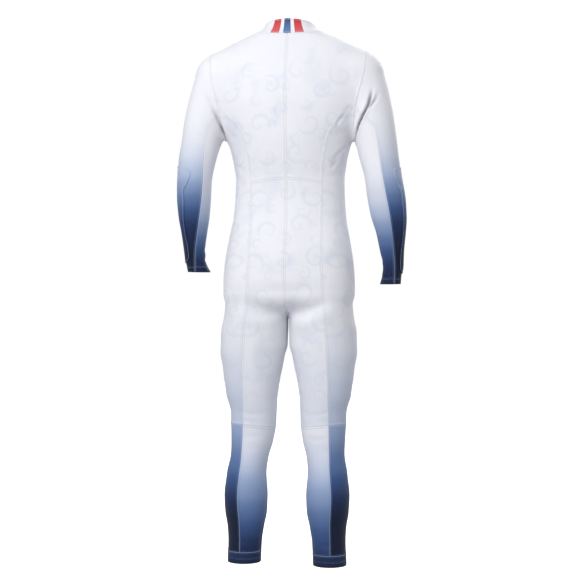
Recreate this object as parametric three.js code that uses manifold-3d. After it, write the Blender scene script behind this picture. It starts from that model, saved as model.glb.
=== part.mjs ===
// A one-piece ski race suit, filled out as it is when worn, hollow and with no wearer in it.
// Lengths are millimetres and angles are degrees. +Z is up, the front faces -Y, and the suit's own
// left side is at +X. The origin is on the body's axis at the base of the neck, where the wearer's
// neck and shoulders carry the suit.
//
// Every piece of cloth lies on one smooth skin, the zero of a field that blends a trunk, two legs and
// two arms. Seams are curves on that skin, a panel is a grid stretched between four seams, and its
// cloth is a closed wall under the skin.
import * as THREE from "three";
import { mergeVertices } from "three/addons/utils/BufferGeometryUtils.js";
import Module from "manifold-3d";

const wasm = await Module();
wasm.setup();

const CLOTH = 1.5; // thickness of the stretch cloth
const SEAM_GAP = 0.3; // between two sewn pieces
const HIP_BLEND = 26; // how softly a leg runs into the trunk
const WAIST_SEAM = { back: -389, side: -400 }; // heights at the centre back and at the side panel
const KNEE_SEAM = { side: -1045, inside: -1058 };
const HEM = { 1: { top: -1386, bottom: -1417 }, "-1": { top: -1391, bottom: -1422 }, proud: 0.6 };
const ZIP = { half: 6, turn: 174.5, bottom: -600, close: 8, tape: 1.2, coil: 1.7, rise: 0.6, sink: 0.9 };
const SLIDER = {
  z: -21, wide: 8.4, tall: 13, thick: 1.8, lift: 0.45, corner: 3,
  core: 1.6, deep: 2.6, bridge: 2.6, bore: 1.6, rim: 1.3, reach: 2.3, bite: 1,
};
const PULL = {
  wide: 6, waist: 4.6, long: 29, thick: 1.4, bar: 0.75, window: 3.4, opening: 5.2, corner: 1.2,
};

// How many grid cells each piece has across (columns) and along (rows).
const CELLS = {
  shoulder: 8, // across the front and back, from neck or middle to the side
  side: 5, // across a side panel and an under-sleeve
  nape: 5, // along the neck seam, from the shoulder seam to the nape
  throat: 5, // along the neck seam, from the shoulder seam to the zip
  zip: 14, // along the zip below the collar
  armhole: 6, // along each half of the armhole above the side panel
  ribs: 7, // down the side from the armhole to the waist seam
  thigh: 21, // from the waist seam to the knee seam
  inseam: 9, // from the crotch to the knee seam
  calf: 11,
  sleeve: 17,
  collar: 3,
  hem: 2,
};

// How far apart the tries are when a path or a curve is followed, and how often each is bettered.
const SEARCH = { stride: 3, halvings: 30, steps: 14, longest: 12, samples: 160 };

// Reads a table with named columns at any place along its first column, by a cubic through the rows
// that never overshoots them.
function table(names, rows) {
  const columns = names.split(" ");
  const places = rows.map((row) => row[0]);
  const rise = Math.sign(places.at(-1) - places[0]);
  const slopes = columns.map((_, c) => {
    const secant = rows.slice(1).map((row, i) => (row[c] - rows[i][c]) / (places[i + 1] - places[i]));
    const inner = secant.slice(1).map((next, i) => {
      const turns = next * secant[i] <= 0;
      return turns ? 0 : (2 * next * secant[i]) / (next + secant[i]);
    });
    return [secant[0], ...inner, secant.at(-1)];
  });
  return (place) => {
    const last = rows.length - 2;
    let i = 0;
    while (i < last && (place - places[i + 1]) * rise > 0) i += 1;
    const step = places[i + 1] - places[i];
    const t = Math.min(1, Math.max(0, (place - places[i]) / step));
    const ease = 3 * t ** 2 - 2 * t ** 3;
    const h = [1 - ease, ease, t - 2 * t ** 2 + t ** 3, t ** 3 - t ** 2];
    const read = {};
    columns.forEach((name, c) => {
      read[name] =
        h[0] * rows[i][c] + h[1] * rows[i + 1][c] + step * (h[2] * slopes[c][i] + h[3] * slopes[c][i + 1]);
    });
    return read;
  };
}

// Level sections of the trunk: half its width, and how far its front and back lie from the axis.
const TRUNK = table("z half front back", [
  [70, 56, -70, 40],
  [32, 64, -70, 46],
  [24, 69, -70, 48],
  [14, 77, -69, 51],
  [8, 90, -68, 54],
  [0, 109, -68, 57],
  [-16, 144, -69, 66],
  [-32, 172, -71, 75],
  [-50, 194, -75, 84],
  [-75, 211, -83, 94],
  [-110, 221, -95, 104],
  [-150, 223, -106, 111],
  [-190, 214, -114, 114],
  [-240, 193, -120, 112],
  [-281, 171, -121, 108],
  [-302, 163, -120, 104],
  [-345, 153, -116, 96],
  [-390, 147, -110, 88],
  [-435, 148, -106, 87],
  [-487, 152, -104, 93],
  [-540, 160, -103, 105],
  [-580, 166, -102, 114],
  [-620, 171, -100, 120],
  [-660, 173, -97, 122],
  [-690, 173, -92, 116],
]);
const TRUNK_FORM = { roundness: 2.3, floor: -690, drop: 54 };

// Level sections of a leg: its centre, and its half width and half depth.
const LEG = table("z x y wide deep", [
  [-690, 88, 10, 80, 96],
  [-756, 89, 8, 86, 96],
  [-800, 93, 5, 90, 94],
  [-834, 94, 3, 90, 92],
  [-864, 98, 2, 86, 88],
  [-886, 98, 1, 82, 85],
  [-929, 100, -1, 75, 79],
  [-972, 100, -3, 69, 73],
  [-994, 97, -4, 65, 69],
  [-1015, 95, -5, 62, 66],
  [-1045, 95, -5, 61, 63],
  [-1096, 98, -2, 56, 59],
  [-1137, 104, 4, 51, 57],
  [-1179, 110, 12, 53, 60],
  [-1236, 111, 18, 58, 61],
  [-1280, 111, 20, 56, 57],
  [-1320, 112, 20, 49, 50],
  [-1361, 114, 18, 45, 46],
  [-1430, 116, 16, 44, 45],
]);
const LEG_FORM = { roundness: 2.05, roof: -690, rise: 240 };

// Level sections of each arm, with how far out its back seam lies. The left forearm is bent further
// forward than the right one, and the two sleeves are turned differently.
const ARM = {
  1: table("z x y wide deep seam", [
    [-110, 199, 6, 58, 62, 206],
    [-150, 208, 8, 60, 63, 207],
    [-200, 219, 11, 61, 63, 209],
    [-240, 228, 14, 59, 61, 212],
    [-281, 237, 16, 55, 58, 217],
    [-332, 249, 19, 51, 54, 223],
    [-389, 256, 20, 46, 51, 227],
    [-435, 259, 12, 45, 49, 232],
    [-487, 262, -3, 41, 46, 241],
    [-532, 265, -20, 34, 40, 251],
    [-578, 268, -38, 28, 33, 261],
    [-605, 268, -49, 27, 31, 264],
    [-620, 265, -56, 28, 31, 265],
    [-637, 260, -64, 31, 33, 266],
  ]),
  "-1": table("z x y wide deep seam", [
    [-110, 198, 6, 58, 62, 206],
    [-150, 207, 8, 60, 63, 209],
    [-200, 217, 11, 61, 63, 220],
    [-240, 225, 14, 59, 61, 232],
    [-281, 233, 16, 56, 58, 240],
    [-332, 242, 18, 53, 54, 247],
    [-389, 254, 18, 49, 52, 256],
    [-435, 261, 13, 50, 51, 264],
    [-487, 267, 4, 47, 48, 273],
    [-532, 272, -6, 39, 42, 278],
    [-578, 274, -17, 32, 36, 281],
    [-620, 277, -26, 27, 31, 283],
    [-650, 273, -33, 26, 30, 282],
    [-671, 269, -38, 28, 32, 281],
  ]),
};
const ARM_FORM = { roundness: 2.05, roof: -115, rise: 60, cuff: { 1: -636, "-1": -670 } };
const ARM_BLEND = table("z soft", [[-60, 46], [-120, 36], [-200, 27], [-290, 24]]);

// The armhole as seen from the front: how far out it lies at each height.
const ARMHOLE = table("z x", [
  [-40, 204],
  [-60, 209],
  [-90, 209],
  [-137, 201],
  [-190, 186],
  [-240, 178],
  [-300, 175],
]);
const ARMHOLE_HUB = { y: 5, z: -165, back: 116, front: -116 }; // turned from the top, in degrees

// A sleeve's rows tip from the armhole's plane, in degrees off upright, to level ones. Their hub lies
// off the line between the two sleeve seams.
const SLEEVE_ROWS = { tip: 10, levelAt: 8, hubAtArmhole: 42, hubShare: 0.42 };

// The neck seam and the collar's edge, by angle round the neck from the nape to the throat.
const NECK = table("angle seam edge", [
  [0, -3, 39.5],
  [45, 1, 36],
  [90, 10, 27],
  [135, -22, 8],
  [180, -52, -10],
]);

// The seams of the side panel, from the armhole down: how far out they lie on the back and the front.
const BACK_SEAM = [[156, -224], [132, -248], [114, -279], [100, -342], [95, -400], [94, -500], [99, -686],
  [109, -794], [114, -900], [115, -1045], [118, -1137], [125, -1236], [121, -1320], [121, -1429]];
const FRONT_SEAM = [[162, -226], [147, -254], [134, -292], [122, -340], [117, -398], [121, -500], [131, -686],
  [136, -794], [133, -900], [125, -1045], [127, -1137], [134, -1236], [130, -1320], [130, -1429]];

// The pad on the outside of each forearm: which row of the outer sleeve it starts at, and the
// columns it spans in each row from there down.
const GUARD = {
  from: 9,
  spans: [[5, 7], [4, 8], [3, 9], [3, 9], [3, 9], [3, 9], [4, 8], [5, 7]],
  lift: 0.5,
  thick: 1.6,
};

// Below these heights a leg's own axis takes over from the trunk's.
const FORK = { faces: -760, panels: -748 };
// The shares of the seat seam and of the front seam below the zip that run down before the crotch.
const UPRIGHT = { seat: 0.75, front: 0.55 };
// A sleeve seam reaches its own line over this share of its length. In front that line lies inwards of
// the arm's axis by a share of its half width.
const SLEEVE_SEAM = { settles: 0.14, front: 0.45 };

// The lower legs lean a little to the suit's left.
const LEAN = table("z x", [[-690, 0], [-870, 3], [-1050, 4], [-1200, 5.5], [-1434, 5.5]]);

const radians = THREE.MathUtils.degToRad;
const point = (x, y, z) => new THREE.Vector3(x, y, z);
const lerp = THREE.MathUtils.lerp;

// How far a place is from a rounded section along the line from its centre, negative inside it.
function outside(place, size, roundness) {
  const gauge = place.reduce((sum, p, i) => sum + Math.abs(p / size[i]) ** roundness, 0) ** (1 / roundness);
  return gauge > 0 ? Math.hypot(...place) * (1 - 1 / gauge) : -Math.min(...size);
}

// The lesser of two distances, rounded off where they are nearly equal.
function soften(a, b, soft) {
  const near = Math.max(soft - Math.abs(a - b), 0) / soft;
  return Math.min(a, b) - (near * near * soft) / 4;
}

// How far a place is from a limb with the given level section, which closes above its roof.
function limb(section, form, x, y, z) {
  const above = Math.max(0, z - form.roof);
  return outside([x - section.x, y - section.y, above], [section.wide, section.deep, form.rise], form.roundness);
}

// The field of one side of the suit: 1 is its left side and -1 its right.
function field(side, x, y, z) {
  const across = side * x;
  const t = TRUNK(z);
  const below = Math.max(0, TRUNK_FORM.floor - z);
  const trunk = outside(
    [across, y - (t.front + t.back) / 2, below],
    [t.half, (t.back - t.front) / 2, TRUNK_FORM.drop],
    TRUNK_FORM.roundness,
  );
  const body = soften(trunk, limb(LEG(z), LEG_FORM, across, y, z), HIP_BLEND);
  return soften(body, limb(ARM[side](z), ARM_FORM, across, y, z), ARM_BLEND(z).soft);
}

// The slope of the field at a place, which points out of the suit.
function normalAt(side, p, reach = 0.3) {
  const slope = ["x", "y", "z"].map((axis) => {
    const ahead = p.clone();
    const behind = p.clone();
    ahead[axis] += reach;
    behind[axis] -= reach;
    return (field(side, ...ahead) - field(side, ...behind)) / (2 * reach);
  });
  return point(...slope);
}

// Moves a place onto the skin by short steps along the field's slope.
function settle(side, p) {
  const q = p.clone();
  for (let i = 0; i < SEARCH.steps; i += 1) {
    const slope = normalAt(side, q);
    const step = slope.multiplyScalar(-field(side, ...q) / slope.lengthSq());
    q.add(step.clampLength(0, SEARCH.longest));
  }
  return q;
}

// Where a path that starts inside the suit first leaves it.
function leave(side, path) {
  let far = SEARCH.stride;
  while (field(side, ...path(far)) < 0) far += SEARCH.stride;
  let near = far - SEARCH.stride;
  for (let i = 0; i < SEARCH.halvings; i += 1) {
    const middle = (near + far) / 2;
    if (field(side, ...path(middle)) < 0) near = middle;
    else far = middle;
  }
  return path(far);
}

const trunkMiddle = (z) => (TRUNK(z).front + TRUNK(z).back) / 2;

// The point on the front (facing -1) or back (facing 1) of the skin, a given way out at a height.
function faceAt(side, facing, across, z) {
  const start = z > FORK.faces ? trunkMiddle(z) : LEG(z).y;
  return leave(side, (r) => point(side * across, start + facing * r, z));
}

// The point of the skin at a height and an angle round the neck.
function roundNeck(side, angle, z) {
  const turn = radians(angle);
  const middle = trunkMiddle(z);
  return leave(side, (r) => point(side * r * Math.sin(turn), middle + r * Math.cos(turn), z));
}

// The point of the armhole's curve at an angle round its hub, from its top towards the back.
function roundArmhole(side, angle) {
  const turn = radians(angle);
  return leave(side, (r) => {
    const z = ARMHOLE_HUB.z + r * Math.cos(turn);
    return point(side * ARMHOLE(z).x, ARMHOLE_HUB.y + r * Math.sin(turn), z);
  });
}

// Points evenly spaced along a curve that is given as a function of 0 to 1.
function evenly(curve, count) {
  const last = SEARCH.samples;
  const fine = Array.from({ length: last + 1 }, (_, i) => curve(i / last));
  const along = [0];
  fine.slice(1).forEach((p, i) => along.push(along[i] + p.distanceTo(fine[i])));
  return Array.from({ length: count + 1 }, (_, k) => {
    const want = (along.at(-1) * k) / count;
    let i = 0;
    while (i < last - 1 && along[i + 1] < want) i += 1;
    return fine[i].clone().lerp(fine[i + 1], (want - along[i]) / (along[i + 1] - along[i]));
  });
}

// A smooth line through places in the plane seen from the front, read at 0 to 1.
function through(places) {
  let run = 0;
  const rows = places.map((p, i) => {
    if (i) run += Math.hypot(p[0] - places[i - 1][0], p[1] - places[i - 1][1]);
    return [run, p[0], p[1]];
  });
  const read = table("run x z", rows);
  return (t) => read(t * run);
}

// Splits a seam into runs at the given heights and spaces each run evenly.
function stretches(side, facing, start, places, heights, counts) {
  const line = through([[side * start.x, start.z], ...places]);
  const cuts = [0, ...heights.map((z) => {
    let low = 0;
    let high = 1;
    for (let i = 0; i < SEARCH.halvings; i += 1) {
      const middle = (low + high) / 2;
      if (line(middle).z > z) low = middle;
      else high = middle;
    }
    return low;
  })];
  const runs = counts.map((count, i) =>
    evenly((t) => {
      const at = line(lerp(cuts[i], cuts[i + 1], t));
      return faceAt(side, facing, at.x, at.z);
    }, count).map((p) => settle(side, p)),
  );
  runs[0][0] = start;
  return runs;
}

const join = (...parts) => parts.flatMap((part, i) => (i ? part.slice(1) : part));

// All the seams of one side of the suit, as rows of points.
function seamsOf(side) {
  const neckSeam = (angle) => roundNeck(side, angle, NECK(angle).seam);
  const neckEnd = faceAt(side, -1, ZIP.half, NECK(180).seam);
  const nape = evenly((t) => neckSeam(lerp(90, 0, t)), CELLS.nape);
  const throat = evenly((t) => neckSeam(lerp(90, ZIP.turn, t)), CELLS.throat);
  throat[CELLS.throat] = neckEnd;

  const shoulder = roundArmhole(side, 0);
  const shoulderSeam = evenly((t) => settle(side, nape[0].clone().lerp(shoulder, t)), CELLS.shoulder);
  const armholeBack = evenly((t) => roundArmhole(side, lerp(0, ARMHOLE_HUB.back, t)), CELLS.armhole);
  const armholeFront = evenly((t) => roundArmhole(side, lerp(0, ARMHOLE_HUB.front, t)), CELLS.armhole);
  const under = 360 + ARMHOLE_HUB.front;
  const underarm = evenly((t) => roundArmhole(side, lerp(ARMHOLE_HUB.back, under, t)), CELLS.side);

  const heights = [WAIST_SEAM.side, KNEE_SEAM.side, HEM[side].top, HEM[side].bottom];
  const counts = [CELLS.ribs, CELLS.thigh, CELLS.calf, CELLS.hem];
  const back = stretches(side, 1, armholeBack.at(-1), BACK_SEAM, heights, counts);
  const front = stretches(side, -1, armholeFront.at(-1), FRONT_SEAM, heights, counts);

  // The seat and front seams run down the middle, then round under the trunk to the crotch.
  const hub = point(0, trunkMiddle(TRUNK_FORM.floor), TRUNK_FORM.floor);
  const under90 = (facing) => (turn) =>
    leave(side, (r) => point(0, hub.y + facing * r * Math.cos(radians(turn)), hub.z - r * Math.sin(radians(turn))));
  const crotch = under90(1)(90);
  const middle = (facing, top, share) => (t) => {
    const z = lerp(top, hub.z, t / share);
    return t < share ? faceAt(side, facing, 0, z) : under90(facing)((90 * (t - share)) / (1 - share));
  };
  const spine = evenly(
    (t) => faceAt(side, 1, 0, lerp(NECK(0).seam, WAIST_SEAM.back, t)),
    CELLS.armhole + CELLS.ribs - CELLS.nape,
  );
  const seat = evenly(middle(1, WAIST_SEAM.back, UPRIGHT.seat), CELLS.thigh - CELLS.inseam);
  const zipLine = join(
    evenly((t) => faceAt(side, -1, ZIP.half, lerp(neckEnd.z, ZIP.bottom, t)), CELLS.zip),
    [neckEnd, faceAt(side, -1, 0, ZIP.bottom - ZIP.close)],
    evenly(
      middle(-1, ZIP.bottom - ZIP.close, UPRIGHT.front),
      CELLS.armhole + CELLS.ribs + CELLS.thigh - CELLS.throat - CELLS.inseam - CELLS.zip - 1,
    ),
  );
  const inside = (top, bottom, count) =>
    evenly((t) => {
      const z = lerp(top, bottom, t);
      return leave(side, (r) => point(side * (LEG(z).x - r), LEG(z).y, z));
    }, count);
  const inseam = inside(crotch.z - 1, KNEE_SEAM.inside, CELLS.inseam);
  inseam[0] = crotch;
  const calf = inside(KNEE_SEAM.inside, HEM[side].top, CELLS.calf);
  const hem = inside(HEM[side].top, HEM[side].bottom, CELLS.hem);

  const sleeveSeam = (facing, head, seam) => {
    const places = evenly((t) => {
      const z = lerp(head.z, ARM_FORM.cuff[side], t);
      const a = ARM[side](z);
      const onLine = THREE.MathUtils.smoothstep(t, 0, SLEEVE_SEAM.settles);
      const across = lerp(side * head.x, seam(a), onLine);
      return leave(side, (r) => point(side * across, a.y + facing * r, z));
    }, CELLS.sleeve);
    return [head, ...places.slice(1)];
  };
  const sleeveBack = sleeveSeam(1, armholeBack.at(-1), (a) => a.seam);
  const sleeveFront = sleeveSeam(-1, armholeFront.at(-1), (a) => a.x - SLEEVE_SEAM.front * a.wide);
  return {
    nape, throat, shoulderSeam, armholeBack, armholeFront, underarm, back, front, spine, seat, zipLine,
    inseam, calf, hem, sleeveBack, sleeveFront,
  };
}

// The axis that a panel bends round at a height: the middle of half the trunk, or a leg's centre.
const bodyAxis = (z) => (z > FORK.panels ? { x: TRUNK(z).half / 2, y: trunkMiddle(z) } : LEG(z));

// The angle of a place round an axis, from start to start + 360, where 0 is outwards and 90 is back.
function bearing(side, axis, p, start) {
  const angle = THREE.MathUtils.radToDeg(Math.atan2(p.y - axis.y, side * p.x - axis.x));
  return start + THREE.MathUtils.euclideanModulo(angle - start, 360);
}

// Swings from one place to another round the body, with the height and the radius changing evenly.
function swing(side, from, to, starts, t) {
  const polar = [from, to].map((p, i) => {
    const axis = bodyAxis(p.z);
    return { turn: bearing(side, axis, p, starts[i]), far: Math.hypot(side * p.x - axis.x, p.y - axis.y) };
  });
  const z = lerp(from.z, to.z, t);
  const axis = bodyAxis(z);
  const turn = radians(lerp(polar[0].turn, polar[1].turn, t));
  const far = lerp(polar[0].far, polar[1].far, t);
  return point(side * (axis.x + far * Math.cos(turn)), axis.y + far * Math.sin(turn), z);
}

// A grid of points on the skin between a first and a last edge, rows of which swing round the body.
// Its top and bottom edges may be given too, and their pull on the rows fades along the panel.
function panel({ side, first, last, top, bottom, columns, starts }) {
  const rows = first.length - 1;
  const guess = (i, j) => swing(side, first[j], last[j], starts, i / columns);
  const shift = (edge, i, j) => (edge ? edge[i].clone().sub(guess(i, j)) : point(0, 0, 0));
  return first.map((_, j) =>
    Array.from({ length: columns + 1 }, (_, i) => {
      if (i === 0) return first[j].clone();
      if (i === columns) return last[j].clone();
      if (j === 0 && top) return top[i].clone();
      if (j === rows && bottom) return bottom[i].clone();
      const p = guess(i, j);
      p.addScaledVector(shift(top, i, 0), 1 - j / rows);
      p.addScaledVector(shift(bottom, i, rows), j / rows);
      return settle(side, p);
    }),
  );
}

// Draws the outer rows and columns of a grid in by half a seam gap, square to the seam.
function trim(grid, ring) {
  const moved = grid.map((row) => row.map((p) => p.clone()));
  const rows = grid.length - 1;
  const columns = grid[0].length - 1;
  const inside = (i, last) => Math.min(last, Math.max(0, i));
  const pull = (j, i, inJ, inI) => {
    const [alongJ, alongI] = inJ ? [0, 1] : [1, 0];
    const ahead = grid[inside(j + alongJ, rows)][inside(i + alongI, columns)];
    const behind = grid[inside(j - alongJ, rows)][inside(i - alongI, columns)];
    const seam = ahead.clone().sub(behind).normalize();
    const way = grid[j + inJ][i + inI].clone().sub(grid[j][i]);
    way.addScaledVector(seam, -way.dot(seam));
    moved[j][i].addScaledVector(way.normalize(), SEAM_GAP / 2);
  };
  for (let i = 0; i <= columns; i += 1) {
    pull(0, i, 1, 0);
    pull(rows, i, -1, 0);
  }
  for (let j = 0; j <= rows && !ring; j += 1) {
    pull(j, 0, 0, 1);
    pull(j, columns, 0, -1);
  }
  return moved;
}

// A closed wall from a sheet of points and triangles: its two skins lie off the sheet by the given
// amounts along the normals, and a rim joins them round each open edge.
function thicken(points, normals, triangles, outer, inner) {
  const count = points.length;
  const positions = [outer, inner].flatMap((push) =>
    points.flatMap((p, i) => {
      const q = p.clone().addScaledVector(normals[i], push);
      return [q.x + LEAN(q.z).x, q.y, q.z];
    }),
  );
  const edges = new Set(triangles.flatMap(([a, b, c]) => [`${a} ${b}`, `${b} ${c}`, `${c} ${a}`]));
  const under = triangles.map(([a, b, c]) => [a + count, c + count, b + count]);
  const rim = [...edges].map((edge) => edge.split(" ").map(Number))
    .filter(([a, b]) => !edges.has(`${b} ${a}`))
    .flatMap(([a, b]) => [[b, a, a + count], [b, a + count, b + count]]);
  return facingOut(positions, [...triangles, ...under, ...rim]);
}

// A geometry from points and triangles, turned round if its faces point inwards.
function facingOut(positions, faces) {
  const corner = (i) => point(...positions.slice(3 * i, 3 * i + 3));
  const volume = faces.reduce((sum, [a, b, c]) => sum + corner(a).dot(corner(b).cross(corner(c))), 0);
  const geometry = new THREE.BufferGeometry();
  geometry.setAttribute("position", new THREE.Float32BufferAttribute(positions, 3));
  geometry.setIndex((volume < 0 ? faces.map(([a, b, c]) => [a, c, b]) : faces).flat());
  return geometry;
}

// Names a place to a twentieth of a millimetre, so that points which coincide share a name.
const keyOf = (p) => [p.x, p.y, p.z].map((q) => Math.round(q * 20)).join(" ");

// The triangles of a grid, whole or between the given columns of each row, as pairs of row and column.
function cellsOf(grid, spans) {
  const span = (j) => (spans ? spans[j] : [0, grid[0].length - 1]);
  const triangles = [];
  for (let j = 0; j + 1 < grid.length; j += 1) {
    const [[from, to], [nextFrom, nextTo]] = [span(j), span(j + 1)];
    const [k, low, high] = [j + 1, Math.max(from, nextFrom), Math.min(to, nextTo)];
    for (let i = low; i < high; i += 1) {
      triangles.push([[j, i], [k, i], [k, i + 1]], [[j, i], [k, i + 1], [j, i + 1]]);
    }
    if (from > nextFrom) triangles.push([[j, from], [k, nextFrom], [k, from]]);
    if (from < nextFrom) triangles.push([[j, from], [k, nextFrom], [j, nextFrom]]);
    if (to < nextTo) triangles.push([[j, to], [k, to], [k, nextTo]]);
    if (to > nextTo) triangles.push([[j, nextTo], [k, nextTo], [j, to]]);
  }
  return triangles;
}

// Finds the normal at each point of some grids that are sewn together, as the mean of the faces that
// meet there, so that neighbours share it along their seam.
function normalsOf(grids) {
  const sums = new Map();
  grids.forEach((grid) => cellsOf(grid).forEach((triangle) => {
    const [a, b, c] = triangle.map(([j, i]) => grid[j][i]);
    const face = b.clone().sub(a).cross(c.clone().sub(a));
    const middle = a.clone().add(b).add(c).divideScalar(3);
    if (face.dot(normalAt(middle.x < 0 ? -1 : 1, middle)) < 0) face.negate();
    [a, b, c].forEach((p) => {
      if (!sums.has(keyOf(p))) sums.set(keyOf(p), point(0, 0, 0));
      sums.get(keyOf(p)).add(face);
    });
  }));
  return (p) => sums.get(keyOf(p)).clone().normalize();
}

// The wall of a grid. Its edges are drawn in for the seams unless it is loose. A ring closes on
// itself, so its last column is its first.
function wall(grid, normal, { outer = 0, inner = -CLOTH, ring = false, loose = false, spans } = {}) {
  const width = grid[0].length - (ring ? 1 : 0);
  const flat = (rows) => rows.flatMap((row) => row.slice(0, width));
  const points = flat(loose ? grid : trim(grid, ring));
  const normals = flat(grid).map(normal);
  const triangles = cellsOf(grid, spans).map((corners) => corners.map(([j, i]) => j * width + (i % width)));
  const used = [...new Set(triangles.flat())];
  const place = new Map(used.map((old, fresh) => [old, fresh]));
  const pick = (list) => used.map((i) => list[i]);
  const kept = triangles.map((triangle) => triangle.map((i) => place.get(i)));
  return thicken(pick(points), pick(normals), kept, outer, inner);
}

const MATERIALS = {
  white: new THREE.MeshStandardMaterial({ color: 0xf0f1f5, roughness: 0.55 }),
  pale: new THREE.MeshStandardMaterial({ color: 0xbec7d6, roughness: 0.55 }),
  fade: new THREE.MeshStandardMaterial({ color: 0x8ea1c2, roughness: 0.5 }),
  navy: new THREE.MeshStandardMaterial({ color: 0x24344f, roughness: 0.5 }),
  tape: new THREE.MeshStandardMaterial({ color: 0xe6e8ee, roughness: 0.7 }),
  metal: new THREE.MeshStandardMaterial({ color: 0xb9bdc4, roughness: 0.3, metalness: 1 }),
};

const suit = new THREE.Group();
suit.name = "race_suit";

function add(name, geometry, material) {
  const piece = new THREE.Mesh(geometry, MATERIALS[material]);
  piece.name = name;
  suit.add(piece);
  return piece;
}

// The cut pieces of cloth: each has a name, a grid, a material and the look of its wall.
const cloth = [];
const cut = (name, grid, material, look = {}) => cloth.push({ name, grid, material, look });

// The bearings that a piece's two edges are counted from, so that each swing takes the short way.
const BEARINGS = { back: [-60, -90], side: [-90, -270], front: [-270, -300] };

// The pieces of the trunk and the leg, each between its own two seams.
function sewBody(side, seams) {
  const label = side > 0 ? "left" : "right";
  const [ribsBack, thighBack, calfBack, hemBack] = seams.back;
  const [ribsFront, thighFront, calfFront, hemFront] = seams.front;
  const shape = (kind, first, last, columns, more = {}) =>
    panel({ side, first, last, columns, starts: BEARINGS[kind], ...more });
  const waist = evenly((t) => {
    const at = lerp(0, ribsBack.at(-1).x * side, t);
    const z = lerp(WAIST_SEAM.back, ribsBack.at(-1).z, t ** 2);
    return faceAt(side, 1, at, z);
  }, CELLS.shoulder);
  waist[CELLS.shoulder] = ribsBack.at(-1);

  const back = shape("back", join(seams.nape, seams.spine), join(seams.armholeBack, ribsBack),
    CELLS.shoulder, { top: seams.shoulderSeam, bottom: waist });
  const seat = shape("back", join(seams.seat, seams.inseam), thighBack, CELLS.shoulder, { top: waist });
  const sideCloth = shape("side", join(ribsBack, thighBack), join(ribsFront, thighFront),
    CELLS.side, { top: seams.underarm });
  const front = shape("front", join(seams.armholeFront, ribsFront, thighFront),
    join(seams.throat, seams.zipLine, seams.inseam), CELLS.shoulder,
    { top: [...seams.shoulderSeam].reverse() });
  const calves = [
    ["back", seams.calf, calfBack, CELLS.shoulder, seat, "fade"],
    ["side", calfBack, calfFront, CELLS.side, sideCloth, "navy"],
    ["front", calfFront, seams.calf, CELLS.shoulder, front, "fade"],
  ].map(([kind, first, last, columns, above, material]) => {
    const grid = shape(kind, first, last, columns, { top: above.at(-1) });
    return { kind, grid, material };
  });
  const hems = [
    shape("back", seams.hem, hemBack, CELLS.shoulder, { top: calves[0].grid.at(-1) }),
    shape("side", hemBack, hemFront, CELLS.side, { top: calves[1].grid.at(-1) }),
    shape("front", hemFront, seams.hem, CELLS.shoulder, { top: calves[2].grid.at(-1) }),
  ];
  const hemRing = hems[0].map((_, j) => join(...hems.map((grid) => grid[j])));

  cut(`back_${label}`, back, "white");
  cut(`seat_${label}`, seat, "white");
  cut(`side_${label}`, sideCloth, "pale");
  cut(`front_${label}`, front, "white");
  calves.forEach(({ kind, grid, material }) => cut(`calf_${kind}_${label}`, grid, material));
  cut(`hem_${label}`, hemRing, "navy", { outer: HEM.proud, ring: true });
}

// A grid of points on a sleeve between its two seams, rows of which fan out from the armhole. The
// spacing of the armhole's points evens out over the first rows.
function sleevePanel(side, first, last, top, turnsUnder) {
  const columns = top.length - 1;
  const frame = (j) => {
    const share = THREE.MathUtils.smoothstep(j, 0, SLEEVE_ROWS.levelAt);
    const tip = radians(lerp(SLEEVE_ROWS.tip, 90, share));
    const up = point(side * Math.sin(tip), 0, Math.cos(tip));
    const square = point(side * Math.cos(tip), 0, -Math.sin(tip));
    const hub = first[j].clone().lerp(last[j], 0.5);
    const wide = ARM[side](hub.z).wide;
    hub.addScaledVector(up, lerp(SLEEVE_ROWS.hubAtArmhole, SLEEVE_ROWS.hubShare * wide, share));
    return { up, square, hub };
  };
  const read = ({ up, square, hub }, p, low) => {
    const arm = p.clone().sub(hub);
    const turn = THREE.MathUtils.radToDeg(Math.atan2(arm.y, arm.dot(up)));
    return { turn: low + THREE.MathUtils.euclideanModulo(turn - low, 360), off: arm.dot(square) };
  };
  const low = turnsUnder ? 0 : -180;
  const ends = first.map((_, j) => [first[j], last[j]].map((p) => read(frame(j), p, low)));
  const [start, end] = ends[0];
  const shares = top.map((p) => (read(frame(0), p, low).turn - start.turn) / (end.turn - start.turn));
  return first.map((_, j) => {
    const { up, square, hub } = frame(j);
    const [from, to] = ends[j];
    const even = THREE.MathUtils.smoothstep(j, 0, SLEEVE_ROWS.levelAt / 2);
    return top.map((p, i) => {
      if (i === 0) return first[j];
      if (i === columns) return last[j];
      if (j === 0) return p;
      const share = lerp(shares[i], i / columns, even);
      const turn = radians(lerp(from.turn, to.turn, share));
      const foot = hub.clone().addScaledVector(square, lerp(from.off, to.off, share));
      return leave(side, (r) =>
        foot.clone().addScaledVector(up, r * Math.cos(turn)).add(point(0, r * Math.sin(turn), 0)));
    });
  });
}

// The two pieces of a sleeve, which meet the armhole at the top, and the pad on the forearm.
function sewSleeve(side, seams) {
  const label = side > 0 ? "left" : "right";
  const sleeveHead = join([...seams.armholeBack].reverse(), seams.armholeFront);
  const outer = sleevePanel(side, seams.sleeveBack, seams.sleeveFront, sleeveHead, false);
  const inner = sleevePanel(side, seams.sleeveBack, seams.sleeveFront, seams.underarm, true);
  cut(`sleeve_outer_${label}`, outer, "fade");
  cut(`sleeve_inner_${label}`, inner, "pale");
  cut(`forearm_guard_${label}`, outer.slice(GUARD.from, GUARD.from + GUARD.spans.length), "navy", {
    outer: GUARD.lift + GUARD.thick, inner: GUARD.lift, loose: true, spans: GUARD.spans,
  });
}

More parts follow.
